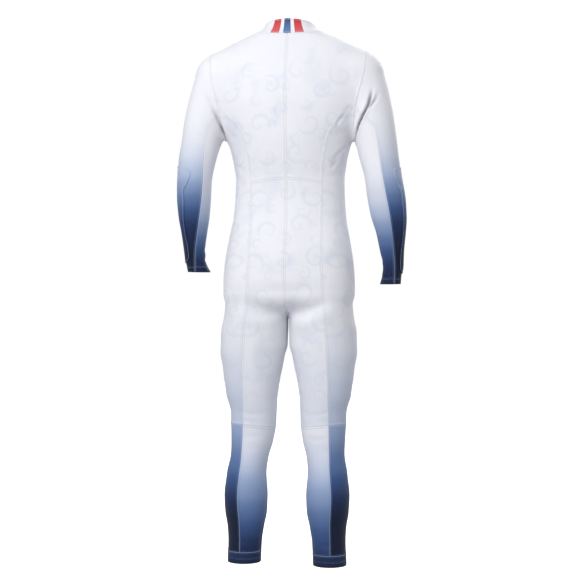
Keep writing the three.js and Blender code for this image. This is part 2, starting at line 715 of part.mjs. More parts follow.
// The stand of the collar, one piece from the zip's left edge round the nape to its right edge.
function sewCollar(left, right) {
  const half = (side, seam) => {
    const around = join([...seam.throat].reverse(), seam.nape);
    return around.map((foot) => {
      const middle = trunkMiddle(foot.z);
      const angle = THREE.MathUtils.radToDeg(Math.atan2(side * foot.x, foot.y - middle));
      const rise = evenly((t) => {
        const z = lerp(foot.z, NECK(angle).edge, t);
        const atZip = Math.abs(foot.x) < ZIP.half + 1 && foot.y < 0;
        return atZip ? faceAt(side, -1, ZIP.half, z) : roundNeck(side, angle, z);
      }, CELLS.collar);
      return [foot, ...rise.slice(1)];
    });
  };
  const columns = join(half(1, left), half(-1, right).reverse());
  const rows = columns[0].map((_, j) => columns.map((column) => column[j]));
  cut("collar", rows, "white");
  return columns[0];
}

// The zip: a tape behind each front edge and the closed coil between them, below the slider.
function sewZip(seams, collarEnd) {
  const line = join([...collarEnd].reverse(), seams.zipLine).filter((p) => p.x > ZIP.half - 0.1);
  const heights = line.map((p) => p.z);
  const strip = (side, levels, from, to) =>
    levels.map((z) => [from, to].map((x) => faceAt(1, -1, x, z)).map((p) => point(side * p.x, p.y, p.z)));
  const make = (name, grid, look) =>
    add(name, wall(grid, normalsOf([grid]), { loose: true, ...look }), "tape");
  const tape = [ZIP.coil + SEAM_GAP, ZIP.half - SEAM_GAP];
  make("zip_tape_left", strip(1, heights, ...tape), { inner: -ZIP.tape });
  make("zip_tape_right", strip(-1, heights, ...tape), { inner: -ZIP.tape });
  const top = SLIDER.z - SLIDER.tall / 2 - 2 * SEAM_GAP;
  const levels = [top, ...heights.filter((z) => z < top - 2)];
  make("zip_coil", strip(1, levels, -ZIP.coil, ZIP.coil), { outer: ZIP.rise, inner: -ZIP.sink });
}

// A rounded outline in the plane of the zip, given its width at its two ends and at its waist.
function rounded(wide, waist, top, bottom, corner) {
  const half = wide / 2;
  const shape = new THREE.Shape();
  shape.moveTo(-half + corner, bottom);
  shape.lineTo(half - corner, bottom);
  shape.quadraticCurveTo(half, bottom, half, bottom + corner);
  shape.quadraticCurveTo(waist / 2, (top + bottom) / 2, half, top - corner);
  shape.quadraticCurveTo(half, top, half - corner, top);
  shape.lineTo(-half + corner, top);
  shape.quadraticCurveTo(-half, top, -half, top - corner);
  shape.quadraticCurveTo(-waist / 2, (top + bottom) / 2, -half, bottom + corner);
  shape.quadraticCurveTo(-half, bottom, -half + corner, bottom);
  return shape;
}

// Extrudes an outline that is drawn from the front, outwards from a given distance off the cloth.
function plate(shape, from, thick) {
  const geometry = new THREE.ExtrudeGeometry(shape, { depth: thick, bevelEnabled: false, curveSegments: 4 });
  geometry.translate(0, 0, from);
  const upright = new THREE.Matrix4().makeBasis(point(1, 0, 0), point(0, 0, 1), point(0, -1, 0));
  return geometry.applyMatrix4(upright);
}

// Extrudes an outline that is drawn from the side, outwards and up, to both sides of the middle.
function crosswise(shape, wide) {
  const geometry = new THREE.ExtrudeGeometry(shape, { depth: wide, bevelEnabled: false, curveSegments: 6 });
  geometry.translate(0, 0, -wide / 2);
  const upright = new THREE.Matrix4().makeBasis(point(0, -1, 0), point(0, 0, 1), point(-1, 0, 0));
  return geometry.applyMatrix4(upright);
}

// A solid that can be cut or joined, from a closed geometry.
function toSolid(geometry) {
  const bare = geometry.clone();
  bare.deleteAttribute("normal");
  bare.deleteAttribute("uv");
  const merged = mergeVertices(bare, 1e-4);
  return new wasm.Manifold(new wasm.Mesh({
    numProp: 3,
    vertProperties: new Float32Array(merged.attributes.position.array),
    triVerts: new Uint32Array(merged.index.array),
  }));
}

function toGeometry(solid) {
  const mesh = solid.getMesh();
  const geometry = new THREE.BufferGeometry();
  geometry.setAttribute("position", new THREE.BufferAttribute(mesh.vertProperties, 3));
  geometry.setIndex([...mesh.triVerts]);
  return geometry;
}

// The slider: a plate in front of the tapes, a core between them and a bridge that holds the tab.
function sliderBody() {
  const front = SLIDER.lift + SLIDER.thick;
  const axis = front + SLIDER.reach;
  const half = SLIDER.tall / 2;
  const round = SLIDER.bore + SLIDER.rim;
  const face = plate(rounded(SLIDER.wide, SLIDER.wide, half, -half, SLIDER.corner), SLIDER.lift, SLIDER.thick);
  const core = plate(
    rounded(2 * SLIDER.core, 2 * SLIDER.core, half, -half, SLIDER.core / 2),
    -SLIDER.deep,
    SLIDER.deep + SLIDER.bite,
  );
  const arch = new THREE.Shape();
  arch.moveTo(front - SLIDER.bite, -round);
  arch.lineTo(axis, -round);
  arch.absarc(axis, 0, round, -Math.PI / 2, Math.PI / 2, false);
  arch.lineTo(front - SLIDER.bite, round);
  arch.closePath();
  const bore = new THREE.Path();
  bore.absarc(axis, 0, SLIDER.bore, 0, 2 * Math.PI, true);
  arch.holes.push(bore);
  return toGeometry(toSolid(face).add(toSolid(core)).add(toSolid(crosswise(arch, SLIDER.bridge))));
}

// The pull tab: a waisted plate whose top bar passes through the bridge.
function pullTab() {
  const shape = rounded(PULL.wide, PULL.waist, PULL.bar, PULL.bar - PULL.long, PULL.corner);
  const window = new THREE.Path();
  const half = PULL.window / 2;
  const foot = -PULL.bar - PULL.opening;
  window.moveTo(-half, -PULL.bar);
  window.lineTo(half, -PULL.bar);
  window.lineTo(half, foot + half);
  window.absarc(0, foot + half, half, 0, -Math.PI, true);
  window.closePath();
  shape.holes.push(window);
  return plate(shape, SLIDER.lift + SLIDER.thick + SLIDER.reach - PULL.thick / 2, PULL.thick);
}

// Stands the slider and the tab on the closed zip, leaning as the collar's front does.
function hangSlider() {
  const reach = SLIDER.tall / 2;
  const skin = (z) => faceAt(1, -1, 0, z);
  const slope = Math.atan2(skin(SLIDER.z + reach).y - skin(SLIDER.z - reach).y, 2 * reach);
  [add("zip_slider", sliderBody(), "metal"), add("zip_pull", pullTab(), "metal")].forEach((piece) => {
    piece.position.copy(skin(SLIDER.z));
    piece.rotation.x = -slope;
  });
}

const seamsAt = { 1: seamsOf(1), "-1": seamsOf(-1) };
[1, -1].forEach((side) => {
  sewBody(side, seamsAt[side]);
  sewSleeve(side, seamsAt[side]);
});
const collarEnd = sewCollar(seamsAt[1], seamsAt[-1]);
const seamed = normalsOf(cloth.filter(({ look }) => !look.loose).map(({ grid }) => grid));
cloth.forEach(({ name, grid, material, look }) => add(name, wall(grid, seamed, look), material));
sewZip(seamsAt[1], collarEnd);
hangSlider();

export default suit;
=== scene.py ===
"""A one-piece ski race suit, filled out as it is when worn, hollow and with no wearer in it.

Tables and shape functions work in millimetres, +Z up, with the front at -Y and the suit's own left
side at +X. Meshes, lights and the camera are in metres. Every piece of cloth is a thin shell on one
smooth skin, where a field that blends a trunk, two legs and two arms is zero.
"""
import math

import bpy
import numpy as np
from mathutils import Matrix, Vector


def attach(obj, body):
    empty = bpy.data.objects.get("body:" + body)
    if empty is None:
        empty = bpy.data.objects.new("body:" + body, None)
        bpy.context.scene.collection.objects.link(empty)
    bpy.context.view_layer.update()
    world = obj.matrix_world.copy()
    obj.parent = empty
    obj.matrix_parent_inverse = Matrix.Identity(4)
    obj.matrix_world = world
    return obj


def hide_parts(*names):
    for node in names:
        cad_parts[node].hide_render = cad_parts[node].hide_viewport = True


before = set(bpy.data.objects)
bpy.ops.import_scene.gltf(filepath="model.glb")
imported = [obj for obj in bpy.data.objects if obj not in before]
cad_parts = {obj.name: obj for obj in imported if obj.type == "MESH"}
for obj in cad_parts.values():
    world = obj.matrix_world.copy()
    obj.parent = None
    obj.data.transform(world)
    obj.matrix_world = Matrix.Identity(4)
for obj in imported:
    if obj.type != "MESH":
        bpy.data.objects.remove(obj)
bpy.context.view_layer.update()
MM = 0.001

# How thick the stretch cloth is, and the places of the level seams.
CLOTH = 1.4
WAIST_SEAM = {"back": -389, "side": -400}
KNEE_SEAM = {"side": -1045, "inside": -1058}
HEM = {1: {"top": -1386, "bottom": -1417}, -1: {"top": -1391, "bottom": -1422}, "proud": 0.6}
ZIP = {"half": 6, "turn": 174.5, "bottom": -600, "close": 8}
HIP_BLEND = 26

# The first grid of a piece has this many cells across and along, by the name of the stretch.
CELLS = {
    "shoulder": 48, "side": 30, "nape": 45, "throat": 45, "zip": 126, "armhole": 54, "ribs": 63,
    "thigh": 189, "inseam": 81, "calf": 99, "sleeve": 153, "collar": 16, "hem": 18, "zip_foot": 9,
}
# A side of the suit is the sign of its x.
LABELS = {1: "left", -1: "right"}

# The grid that a piece is made of: points lie closer beside a seam, at these distances from it, and
# about this far apart between.
BESIDE_SEAM = np.array([0, 0.7, 1.6, 2.7, 3.7, 4.5, 5.3, 6.6, 9.0])
SPACING = 3.6
# A line shorter than this many times the last distance has them closer, and this many cells between.
CROWDED = {"under": 2.6, "cells": 3}

# How a path or a curve is followed: strides in millimetres, how often the last is halved, how often
# and how far a point is moved onto the skin, and the samples along a curve and a whole seam.
SEARCH = {"stride": 4.0, "strides": 90, "halvings": 14, "steps": 6, "longest": 12.0, "samples": 400,
          "seam_samples": 4000, "reach": 0.3}
TINY = 1e-9  # keeps a division away from zero
CENTRE = {"gauge": 1e-6, "depth": -30.0}  # the field has no slope nearer than this to a section's centre
INSEAM_STARTS = 1  # this far below the crotch
# The heights at which the faces and the panels change from the trunk to the legs, and the shares of
# the middle seams that lie above the trunk's floor.
FORK = {"faces": -760, "panels": -748}
UPRIGHT = {"seat": 0.75, "front": 0.55}
# By which share of its length a sleeve's seam has left the armhole, and how far in the front one lies.
SLEEVE_SEAM = {"settles": 0.14, "front": 0.45}


class Table:
    """Reads named columns at any place along the first one. Between two rows a column is the cubic whose
    end slopes are the harmonic means of the slopes beside them, so that it never overshoots a row."""

    def __init__(self, names, rows):
        rows = np.array(sorted(rows), float)
        self.names = names.split()
        self.places, self.values = rows[:, 0], rows[:, 1:]
        slopes = np.diff(self.values, axis=0) / np.diff(self.places)[:, None]
        product, total = slopes[1:] * slopes[:-1], slopes[1:] + slopes[:-1]
        inner = np.where(product > 0, 2 * product / np.where(product > 0, total, 1), 0)
        self.slopes = np.vstack([slopes[:1], inner, slopes[-1:]])

    def __call__(self, place):
        place = np.asarray(place, float)
        i = np.clip(np.searchsorted(self.places, place, side="right") - 1, 0, len(self.places) - 2)
        step = self.places[i + 1] - self.places[i]
        t = np.clip((place - self.places[i]) / step, 0, 1)[..., None]
        ease = 3 * t**2 - 2 * t**3
        read = (1 - ease) * self.values[i] + ease * self.values[i + 1]
        bend = (t - 2 * t**2 + t**3) * self.slopes[i] + (t**3 - t**2) * self.slopes[i + 1]
        read = read + bend * np.asarray(step)[..., None]
        return {name: read[..., c] for c, name in enumerate(self.names)}


# Level sections of the trunk: half its width, and how far its front and back lie from the axis.
TRUNK = Table("half front back", [
    (70, 56, -70, 40), (32, 64, -70, 46), (24, 69, -70, 48), (14, 77, -69, 51), (8, 90, -68, 54),
    (0, 109, -68, 57), (-16, 144, -69, 66), (-32, 172, -71, 75), (-50, 194, -75, 84),
    (-75, 211, -83, 94), (-110, 221, -95, 104), (-150, 223, -106, 111), (-190, 214, -114, 114),
    (-240, 193, -120, 112), (-281, 171, -121, 108), (-302, 163, -120, 104), (-345, 153, -116, 96),
    (-390, 147, -110, 88), (-435, 148, -106, 87), (-487, 152, -104, 93), (-540, 160, -103, 105),
    (-580, 166, -102, 114), (-620, 171, -100, 120), (-660, 173, -97, 122), (-690, 173, -92, 116),
])
TRUNK_FORM = {"roundness": 2.3, "floor": -690, "drop": 54}

# Level sections of a leg: its centre, and its half width and half depth.
LEG = Table("x y wide deep", [
    (-690, 88, 10, 80, 96), (-756, 89, 8, 86, 96), (-800, 93, 5, 90, 94), (-834, 94, 3, 90, 92),
    (-864, 98, 2, 86, 88), (-886, 98, 1, 82, 85), (-929, 100, -1, 75, 79), (-972, 100, -3, 69, 73),
    (-994, 97, -4, 65, 69), (-1015, 95, -5, 62, 66), (-1045, 95, -5, 61, 63), (-1096, 98, -2, 56, 59),
    (-1137, 104, 4, 51, 57), (-1179, 110, 12, 53, 60), (-1236, 111, 18, 58, 61),
    (-1280, 111, 20, 56, 57), (-1320, 112, 20, 49, 50), (-1361, 114, 18, 45, 46),
    (-1430, 116, 16, 44, 45),
])
LEG_FORM = {"roundness": 2.05, "roof": -690, "rise": 240}

# Level sections of the left arm (1) and the right arm (-1), with how far out the back seam lies.
ARM = {
    1: Table("x y wide deep seam", [
        (-110, 199, 6, 58, 62, 206), (-150, 208, 8, 60, 63, 207), (-200, 219, 11, 61, 63, 209),
        (-240, 228, 14, 59, 61, 212), (-281, 237, 16, 55, 58, 217), (-332, 249, 19, 51, 54, 223),
        (-389, 256, 20, 46, 51, 227), (-435, 259, 12, 45, 49, 232), (-487, 262, -3, 41, 46, 241),
        (-532, 265, -20, 34, 40, 251), (-578, 268, -38, 28, 33, 261), (-605, 268, -49, 27, 31, 264),
        (-620, 265, -56, 28, 31, 265), (-637, 260, -64, 31, 33, 266),
    ]),
    -1: Table("x y wide deep seam", [
        (-110, 198, 6, 58, 62, 206), (-150, 207, 8, 60, 63, 209), (-200, 217, 11, 61, 63, 220),
        (-240, 225, 14, 59, 61, 232), (-281, 233, 16, 56, 58, 240), (-332, 242, 18, 53, 54, 247),
        (-389, 254, 18, 49, 52, 256), (-435, 261, 13, 50, 51, 264), (-487, 267, 4, 47, 48, 273),
        (-532, 272, -6, 39, 42, 278), (-578, 274, -17, 32, 36, 281), (-620, 277, -26, 27, 31, 283),
        (-650, 273, -33, 26, 30, 282), (-671, 269, -38, 28, 32, 281),
    ]),
}
ARM_FORM = {"roundness": 2.05, "roof": -115, "rise": 60, "cuff": {1: -636, -1: -670}}
ARM_BLEND = Table("soft", [(-60, 46), (-120, 36), (-200, 27), (-290, 24)])

# The armhole as seen from the front, and its hub, with the turns at which its lower corners lie.
ARMHOLE = Table("x", [(-40, 204), (-60, 209), (-90, 209), (-137, 201), (-190, 186), (-240, 178), (-300, 175)])
ARMHOLE_HUB = {"y": 5, "z": -165, "back": 116, "front": -116}
# A sleeve's rows tip from the armhole's plane until they are level, after this many rows.
SLEEVE_ROWS = {"tip": 10, "hub_at_armhole": 42, "hub_share": 0.42, "level": 72}

# The neck seam and the collar's edge, by angle round the neck from the nape to the throat.
NECK = Table("seam edge", [(0, -3, 39.5), (45, 1, 36), (90, 10, 27), (135, -22, 8), (180, -52, -10)])

# The seams of the side panel, from the armhole down: how far out they lie on the back and the front.
BACK_SEAM = [(156, -224), (132, -248), (114, -279), (100, -342), (95, -400), (94, -500), (99, -686),
             (109, -794), (114, -900), (115, -1045), (118, -1137), (125, -1236), (121, -1320), (121, -1429)]
FRONT_SEAM = [(162, -226), (147, -254), (134, -292), (122, -340), (117, -398), (121, -500), (131, -686),
              (136, -794), (133, -900), (125, -1045), (127, -1137), (134, -1236), (130, -1320), (130, -1429)]

# The lower legs lean a little to the suit's left.
LEAN = Table("x", [(-690, 0), (-870, 3), (-1050, 4), (-1200, 5.5), (-1434, 5.5)])


def at(x, y, z):
    """Points from three arrays that may differ in shape."""
    return np.stack(np.broadcast_arrays(x, y, z), axis=-1).astype(float)


def lerp(a, b, t):
    """From a to b as t goes from 0 to 1."""
    return a + (b - a) * t


def unit(v):
    """Vectors at a length of one."""
    return v / np.linalg.norm(v, axis=-1, keepdims=True)


def read_along(want, run, values):
    """Rows of values read at places along a line, straight between its points."""
    return np.stack([np.interp(want, run, values[:, c]) for c in range(values.shape[1])], axis=-1)


def ease(value, low, high):
    """0 below low, 1 above high and the curve 3t^2 - 2t^3 between them."""
    t = np.clip((value - low) / (high - low), 0, 1)
    return t * t * (3 - 2 * t)


def outside(place, size, roundness):
    """How far a place is from a section along the line from its centre: its length times 1 - 1/g, where
    g is the sum of the powers of its shares of the section's sizes, taken to one over the power."""
    gauge = sum(np.abs(p / s) ** roundness for p, s in zip(place, size)) ** (1 / roundness)
    far, least = np.sqrt(sum(p * p for p in place)), CENTRE["gauge"]
    return np.where(gauge > least, far * (1 - 1 / np.maximum(gauge, least)), CENTRE["depth"])


def soften(a, b, soft):
    """The lesser of two distances, less the square of their nearness, so that it has no corner."""
    near = np.maximum(soft - np.abs(a - b), 0) / soft
    return np.minimum(a, b) - near * near * soft / 4


def limb(section, form, x, y, z):
    """How far a place is from a leg or an arm, whose top end is rounded over its rise."""
    above = np.maximum(0, z - form["roof"])
    place = (x - section["x"], y - section["y"], above)
    return outside(place, (section["wide"], section["deep"], form["rise"]), form["roundness"])


def field(side, p):
    """How far points are outside one side of the suit: the softened least of the distances to its trunk,
    its leg and its arm. Side is 1 for its left and -1 for its right."""
    x, y, z = side * p[..., 0], p[..., 1], p[..., 2]
    t = TRUNK(z)
    below = np.maximum(0, TRUNK_FORM["floor"] - z)
    middle, half_deep = (t["front"] + t["back"]) / 2, (t["back"] - t["front"]) / 2
    place, size = (x, y - middle, below), (t["half"], half_deep, TRUNK_FORM["drop"])
    trunk = outside(place, size, TRUNK_FORM["roundness"])
    body = soften(trunk, limb(LEG(z), LEG_FORM, x, y, z), HIP_BLEND)
    return soften(body, limb(ARM[side](z), ARM_FORM, x, y, z), ARM_BLEND(z)["soft"])


def slope(side, p):
    """The gradient of the field, by central differences."""
    reach = SEARCH["reach"]
    steps = np.eye(3) * reach
    return np.stack([field(side, p + s) - field(side, p - s) for s in steps], axis=-1) / (2 * reach)


def settle(side, p):
    """Moves points onto the skin: each step goes down the gradient by the field over its square."""
    for _ in range(SEARCH["steps"]):
        g = slope(side, p)
        step = -g * (field(side, p) / np.maximum((g * g).sum(-1), TINY))[..., None]
        far = np.linalg.norm(step, axis=-1, keepdims=True)
        p = p + step * np.minimum(1, SEARCH["longest"] / np.maximum(far, TINY))
    return p


def normals_at(side, p):
    """The skin's unit normals at its points."""
    return unit(slope(side, p))


def leave(side, path, shape):
    """Where paths that start inside the suit first leave it: each is followed in even strides until the
    field is positive there, and its last stride is then halved again and again."""
    far = np.full(shape, SEARCH["stride"])
    for _ in range(SEARCH["strides"]):
        within = field(side, path(far)) < 0
        if not within.any():
            break
        far = np.where(within, far + SEARCH["stride"], far)
    near = far - SEARCH["stride"]
    for _ in range(SEARCH["halvings"]):
        middle = (near + far) / 2
        within = field(side, path(middle)) < 0
        near, far = np.where(within, middle, near), np.where(within, far, middle)
    return path(far)


def trunk_middle(z):
    """How far back the trunk's middle lies at a height."""
    t = TRUNK(z)
    return (t["front"] + t["back"]) / 2


def face_at(side, facing, across, z):
    """The skin's point on the front (facing -1) or the back (facing 1), a way out at a height."""
    across, z = np.broadcast_arrays(np.asarray(across, float), np.asarray(z, float))
    start = np.where(z > FORK["faces"], trunk_middle(z), LEG(z)["y"])
    return leave(side, lambda r: at(side * across, start + facing * r, z), z.shape)


def round_neck(side, angle, z):
    """The skin's point at a height and at an angle round the neck, counted from the nape."""
    angle, z = np.broadcast_arrays(np.radians(angle), np.asarray(z, float))
    middle = trunk_middle(z)
    return leave(side, lambda r: at(side * r * np.sin(angle), middle + r * np.cos(angle), z), z.shape)


def round_armhole(side, angle):
    """The armhole's point at an angle round its hub, counted from its top towards the back."""
    turn = np.radians(np.asarray(angle, float))

    def path(r):
        z = ARMHOLE_HUB["z"] + r * np.cos(turn)
        return at(side * ARMHOLE(z)["x"], ARMHOLE_HUB["y"] + r * np.sin(turn), z)

    return leave(side, path, turn.shape)


def lengths(points, axis):
    """How far each point of a grid is along its own line of the grid, summed over the points before."""
    steps = np.linalg.norm(np.diff(points, axis=axis), axis=-1)
    first = np.zeros_like(np.take(steps, [0], axis=axis))
    return np.concatenate([first, np.cumsum(steps, axis=axis)], axis=axis)


def evenly(curve, count):
    """Points evenly spaced along a curve, which is a function of an array from 0 to 1."""
    fine = curve(np.linspace(0, 1, SEARCH["samples"] + 1))
    run = lengths(fine, 0)
    return read_along(np.linspace(0, run[-1], count + 1), run, fine)


def through(places):
    """A smooth line through places in the plane seen from the front, read at 0 to 1 of its length."""
    places = np.array(places, float)
    run = np.concatenate([[0], np.cumsum(np.hypot(*np.diff(places, axis=0).T))])
    read = Table("x z", [(r, *p) for r, p in zip(run, places)])
    return lambda t: read(t * run[-1])


def stretches(side, facing, start, places, heights, counts):
    """Splits a seam into runs at the given heights, each with its points evenly spaced."""
    line = through([(side * start[0], start[2]), *places])
    fine = np.linspace(0, 1, SEARCH["seam_samples"] + 1)
    cuts = [0, *np.interp([-z for z in heights], -line(fine)["z"], fine)]

    def run(low, high):
        """The seam's course between two shares of its length."""

        def curve(t):
            here = line(lerp(low, high, t))
            return face_at(side, facing, here["x"], here["z"])

        return curve

    runs = [evenly(run(low, high), n) for low, high, n in zip(cuts, cuts[1:], counts)]
    runs[0][0] = start
    return runs


def join(*parts):
    """One line from several, each of which starts at the last one's end."""
    return np.concatenate([part if i == 0 else part[1:] for i, part in enumerate(parts)])


def seams_of(side):
    """All the seams of one side of the suit, as rows of points."""
    cells = CELLS

    def neck(end, count):
        """Along the neck seam, from the shoulder to an angle round the neck."""

        def curve(t):
            angle = lerp(90, end, t)
            return round_neck(side, angle, NECK(angle)["seam"])

        return evenly(curve, count)

    def armhole(start, end, count):
        """Along the armhole, from one angle round its hub to another."""
        return evenly(lambda t: round_armhole(side, lerp(start, end, t)), count)

    neck_end = face_at(side, -1, ZIP["half"], NECK(180)["seam"])
    nape, throat = neck(0, cells["nape"]), neck(ZIP["turn"], cells["throat"])
    throat[-1] = neck_end
    ends = nape[0], round_armhole(side, 0)
    shoulder_seam = evenly(lambda t: settle(side, lerp(*ends, t[:, None])), cells["shoulder"])
    back_turn, front_turn = ARMHOLE_HUB["back"], ARMHOLE_HUB["front"]
    armhole_back, armhole_front = (armhole(0, turn, cells["armhole"]) for turn in (back_turn, front_turn))
    underarm = armhole(back_turn, 360 + front_turn, cells["side"])

    heights = [WAIST_SEAM["side"], KNEE_SEAM["side"], HEM[side]["top"], HEM[side]["bottom"]]
    counts = [cells["ribs"], cells["thigh"], cells["calf"], cells["hem"]]
    back = stretches(side, 1, armhole_back[-1], BACK_SEAM, heights, counts)
    front = stretches(side, -1, armhole_front[-1], FRONT_SEAM, heights, counts)

    floor = TRUNK_FORM["floor"]
    middle_floor = trunk_middle(floor)

    def under_trunk(facing, turn):
        turn = np.radians(turn)

        def path(r):
            return at(0, middle_floor + facing * r * np.cos(turn), floor - r * np.sin(turn))

        return leave(side, path, np.shape(turn))

    def middle(facing, top, share):
        """Down the middle to the trunk's floor over a share of the line, then round to the crotch."""

        def curve(t):
            down = face_at(side, facing, 0, lerp(top, floor, np.minimum(t, share) / share))
            round_it = under_trunk(facing, 90 * np.maximum(t - share, 0) / (1 - share))
            return np.where((t < share)[:, None], down, round_it)

        return curve

    crotch = under_trunk(1, 90.0)

    def straight(facing, start, end, count):
        """Along the front or the back, evenly from one way out and height to another."""

        def curve(t):
            return face_at(side, facing, lerp(start[0], end[0], t), lerp(start[1], end[1], t))

        return evenly(curve, count)

    spine = straight(1, (0, NECK(0)["seam"]), (0, WAIST_SEAM["back"]),
                     cells["armhole"] + cells["ribs"] - cells["nape"])
    seat = evenly(middle(1, WAIST_SEAM["back"], UPRIGHT["seat"]), cells["thigh"] - cells["inseam"])
    foot, shut = (ZIP["half"], ZIP["bottom"]), ZIP["bottom"] - ZIP["close"]
    below = sum(cells[c] for c in ("armhole", "ribs", "thigh")) - cells["throat"] - cells["inseam"]
    zip_line = join(
        straight(-1, (ZIP["half"], neck_end[2]), foot, cells["zip"]),
        straight(-1, foot, (0, shut), cells["zip_foot"]),
        evenly(middle(-1, shut, UPRIGHT["front"]), below - cells["zip"] - cells["zip_foot"]),
    )

    def inside(top, bottom, count):
        """Down the inside of the leg from one height to another."""

        def curve(t):
            z = lerp(top, bottom, t)
            leg = LEG(z)
            return leave(side, lambda r: at(side * (leg["x"] - r), leg["y"], z), t.shape)

        return evenly(curve, count)

    inseam = inside(crotch[2] - INSEAM_STARTS, KNEE_SEAM["inside"], cells["inseam"])
    inseam[0] = crotch
    calf = inside(KNEE_SEAM["inside"], HEM[side]["top"], cells["calf"])
    hem = inside(HEM[side]["top"], HEM[side]["bottom"], cells["hem"])

    def sleeve_seam(facing, head, line):
        """Down the sleeve from the armhole's end to the cuff, along the way out that line gives."""

        def curve(t):
            z = lerp(head[2], ARM_FORM["cuff"][side], t)
            arm = ARM[side](z)
            across = lerp(side * head[0], line(arm), ease(t, 0, SLEEVE_SEAM["settles"]))
            return leave(side, lambda r: at(side * across, arm["y"] + facing * r, z), t.shape)

        places = evenly(curve, cells["sleeve"])
        places[0] = head
        return places

    return {
        "nape": nape, "throat": throat, "shoulder": shoulder_seam, "armhole_back": armhole_back,
        "armhole_front": armhole_front, "underarm": underarm, "back": back, "front": front,
        "spine": spine, "seat": seat, "zip": zip_line, "inseam": inseam, "calf": calf, "hem": hem,
        "sleeve_back": sleeve_seam(1, armhole_back[-1], lambda arm: arm["seam"]),
        "sleeve_front": sleeve_seam(
            -1, armhole_front[-1], lambda arm: arm["x"] - SLEEVE_SEAM["front"] * arm["wide"]),
    }


def body_axis(z):
    """The axis that a panel bends round: the middle of half the trunk, or a leg's centre."""
    high, leg = z > FORK["panels"], LEG(z)
    return np.where(high, TRUNK(z)["half"] / 2, leg["x"]), np.where(high, trunk_middle(z), leg["y"])


def swing(side, first, last, starts, columns):
    """Rows of points that swing round the body from one edge to the other, in which the angle, the
    distance from the axis and the height each change evenly."""
    t = np.linspace(0, 1, columns + 1)
    ends = []
    for edge, start in zip((first, last), starts):
        axis_x, axis_y = body_axis(edge[:, 2])
        out_x, out_y = side * edge[:, 0] - axis_x, edge[:, 1] - axis_y
        turn = start + np.mod(np.degrees(np.arctan2(out_y, out_x)) - start, 360)
        ends.append((turn, np.hypot(out_x, out_y), edge[:, 2]))
    turn, far, z = (lerp(a[:, None], b[:, None], t) for a, b in zip(*ends))
    axis_x, axis_y = body_axis(z)
    turn = np.radians(turn)
    return at(side * (axis_x + far * np.cos(turn)), axis_y + far * np.sin(turn), z)


def panel(side, first, last, columns, starts, top=None, bottom=None):
    """A grid on the skin between two edges. The pull of its top and bottom edges fades along it."""
    guess = swing(side, first, last, starts, columns)
    down = np.linspace(0, 1, len(first))[:, None, None]
    grid = guess.copy()
    if top is not None:
        grid += (top - guess[0]) * (1 - down)
    if bottom is not None:
        grid += (bottom - guess[-1]) * down
    grid = settle(side, grid)
    grid[:, 0], grid[:, -1] = first, last
    if top is not None:
        grid[0] = top
    if bottom is not None:
        grid[-1] = bottom
    return grid


def sleeve_panel(side, first, last, top, turns_under):
    """A grid on a sleeve between its two seams. Each row is a fan of rays from a hub, and the rows tip
    from the armhole's plane to level ones."""
    rows, columns = len(first), len(top) - 1
    share = ease(np.arange(rows), 0, SLEEVE_ROWS["level"])
    tip = np.radians(lerp(SLEEVE_ROWS["tip"], 90, share))
    up = at(side * np.sin(tip), 0, np.cos(tip))
    square = at(side * np.cos(tip), 0, -np.sin(tip))
    hub = (first + last) / 2
    wide = ARM[side](hub[:, 2])["wide"]
    hub = hub + up * lerp(SLEEVE_ROWS["hub_at_armhole"], SLEEVE_ROWS["hub_share"] * wide, share)[:, None]
    low = 0 if turns_under else -180

    def read(p, u, s, h):
        arm = p - h
        turn = np.degrees(np.arctan2(arm[..., 1], (arm * u).sum(-1)))
        return low + np.mod(turn - low, 360), (arm * s).sum(-1)

    turn_a, off_a = read(first, up, square, hub)
    turn_b, off_b = read(last, up, square, hub)
    head, _ = read(top, up[0], square[0], hub[0])
    shares = (head - turn_a[0]) / (turn_b[0] - turn_a[0])
    even = ease(np.arange(rows), 0, SLEEVE_ROWS["level"] / 2)[:, None]
    across = lerp(shares[None, :], np.linspace(0, 1, columns + 1)[None, :], even)
    turn = np.radians(lerp(turn_a[:, None], turn_b[:, None], across))
    foot = hub[:, None] + square[:, None] * lerp(off_a[:, None], off_b[:, None], across)[..., None]
    ray = up[:, None] * np.cos(turn)[..., None]
    ray[..., 1] += np.sin(turn)
    grid = leave(side, lambda r: foot + ray * r[..., None], turn.shape)
    grid[:, 0], grid[:, -1], grid[0] = first, last, top
    return grid


def collar_half(side, seams):
    """One half of the collar's stand: columns that rise from the neck seam to the edge, from the zip
    to the nape."""
    feet = join(seams["throat"][::-1], seams["nape"])
    rise = np.linspace(0, 1, CELLS["collar"] + 1)[:, None]
    angle = np.degrees(np.arctan2(side * feet[:, 0], feet[:, 1] - trunk_middle(feet[:, 2])))
    z = lerp(feet[:, 2], NECK(angle)["edge"], rise)
    grid = round_neck(side, np.broadcast_to(angle, z.shape), z)
    at_zip = (np.abs(feet[:, 0]) < ZIP["half"] + 1) & (feet[:, 1] < 0)
    grid[:, at_zip] = face_at(side, -1, ZIP["half"], z[:, at_zip])
    grid[0] = feet
    return grid


# Relief of the cloth, in millimetres

# A seam is a flat band with a groove where its two pieces meet. Its needle lines lie on grid lines.
SEAM = {"half": 4.4, "step": 1.0, "rise": 0.65, "groove": 0.5, "groove_wide": 0.6, "needle": 4}
# A turned edge is double cloth up to its needle lines.
TURNED = {"deep": 17.0, "step": 1.2, "rise": 0.35, "roll": 0.5, "roll_wide": 1.2, "needles": (12.0, 15.5)}

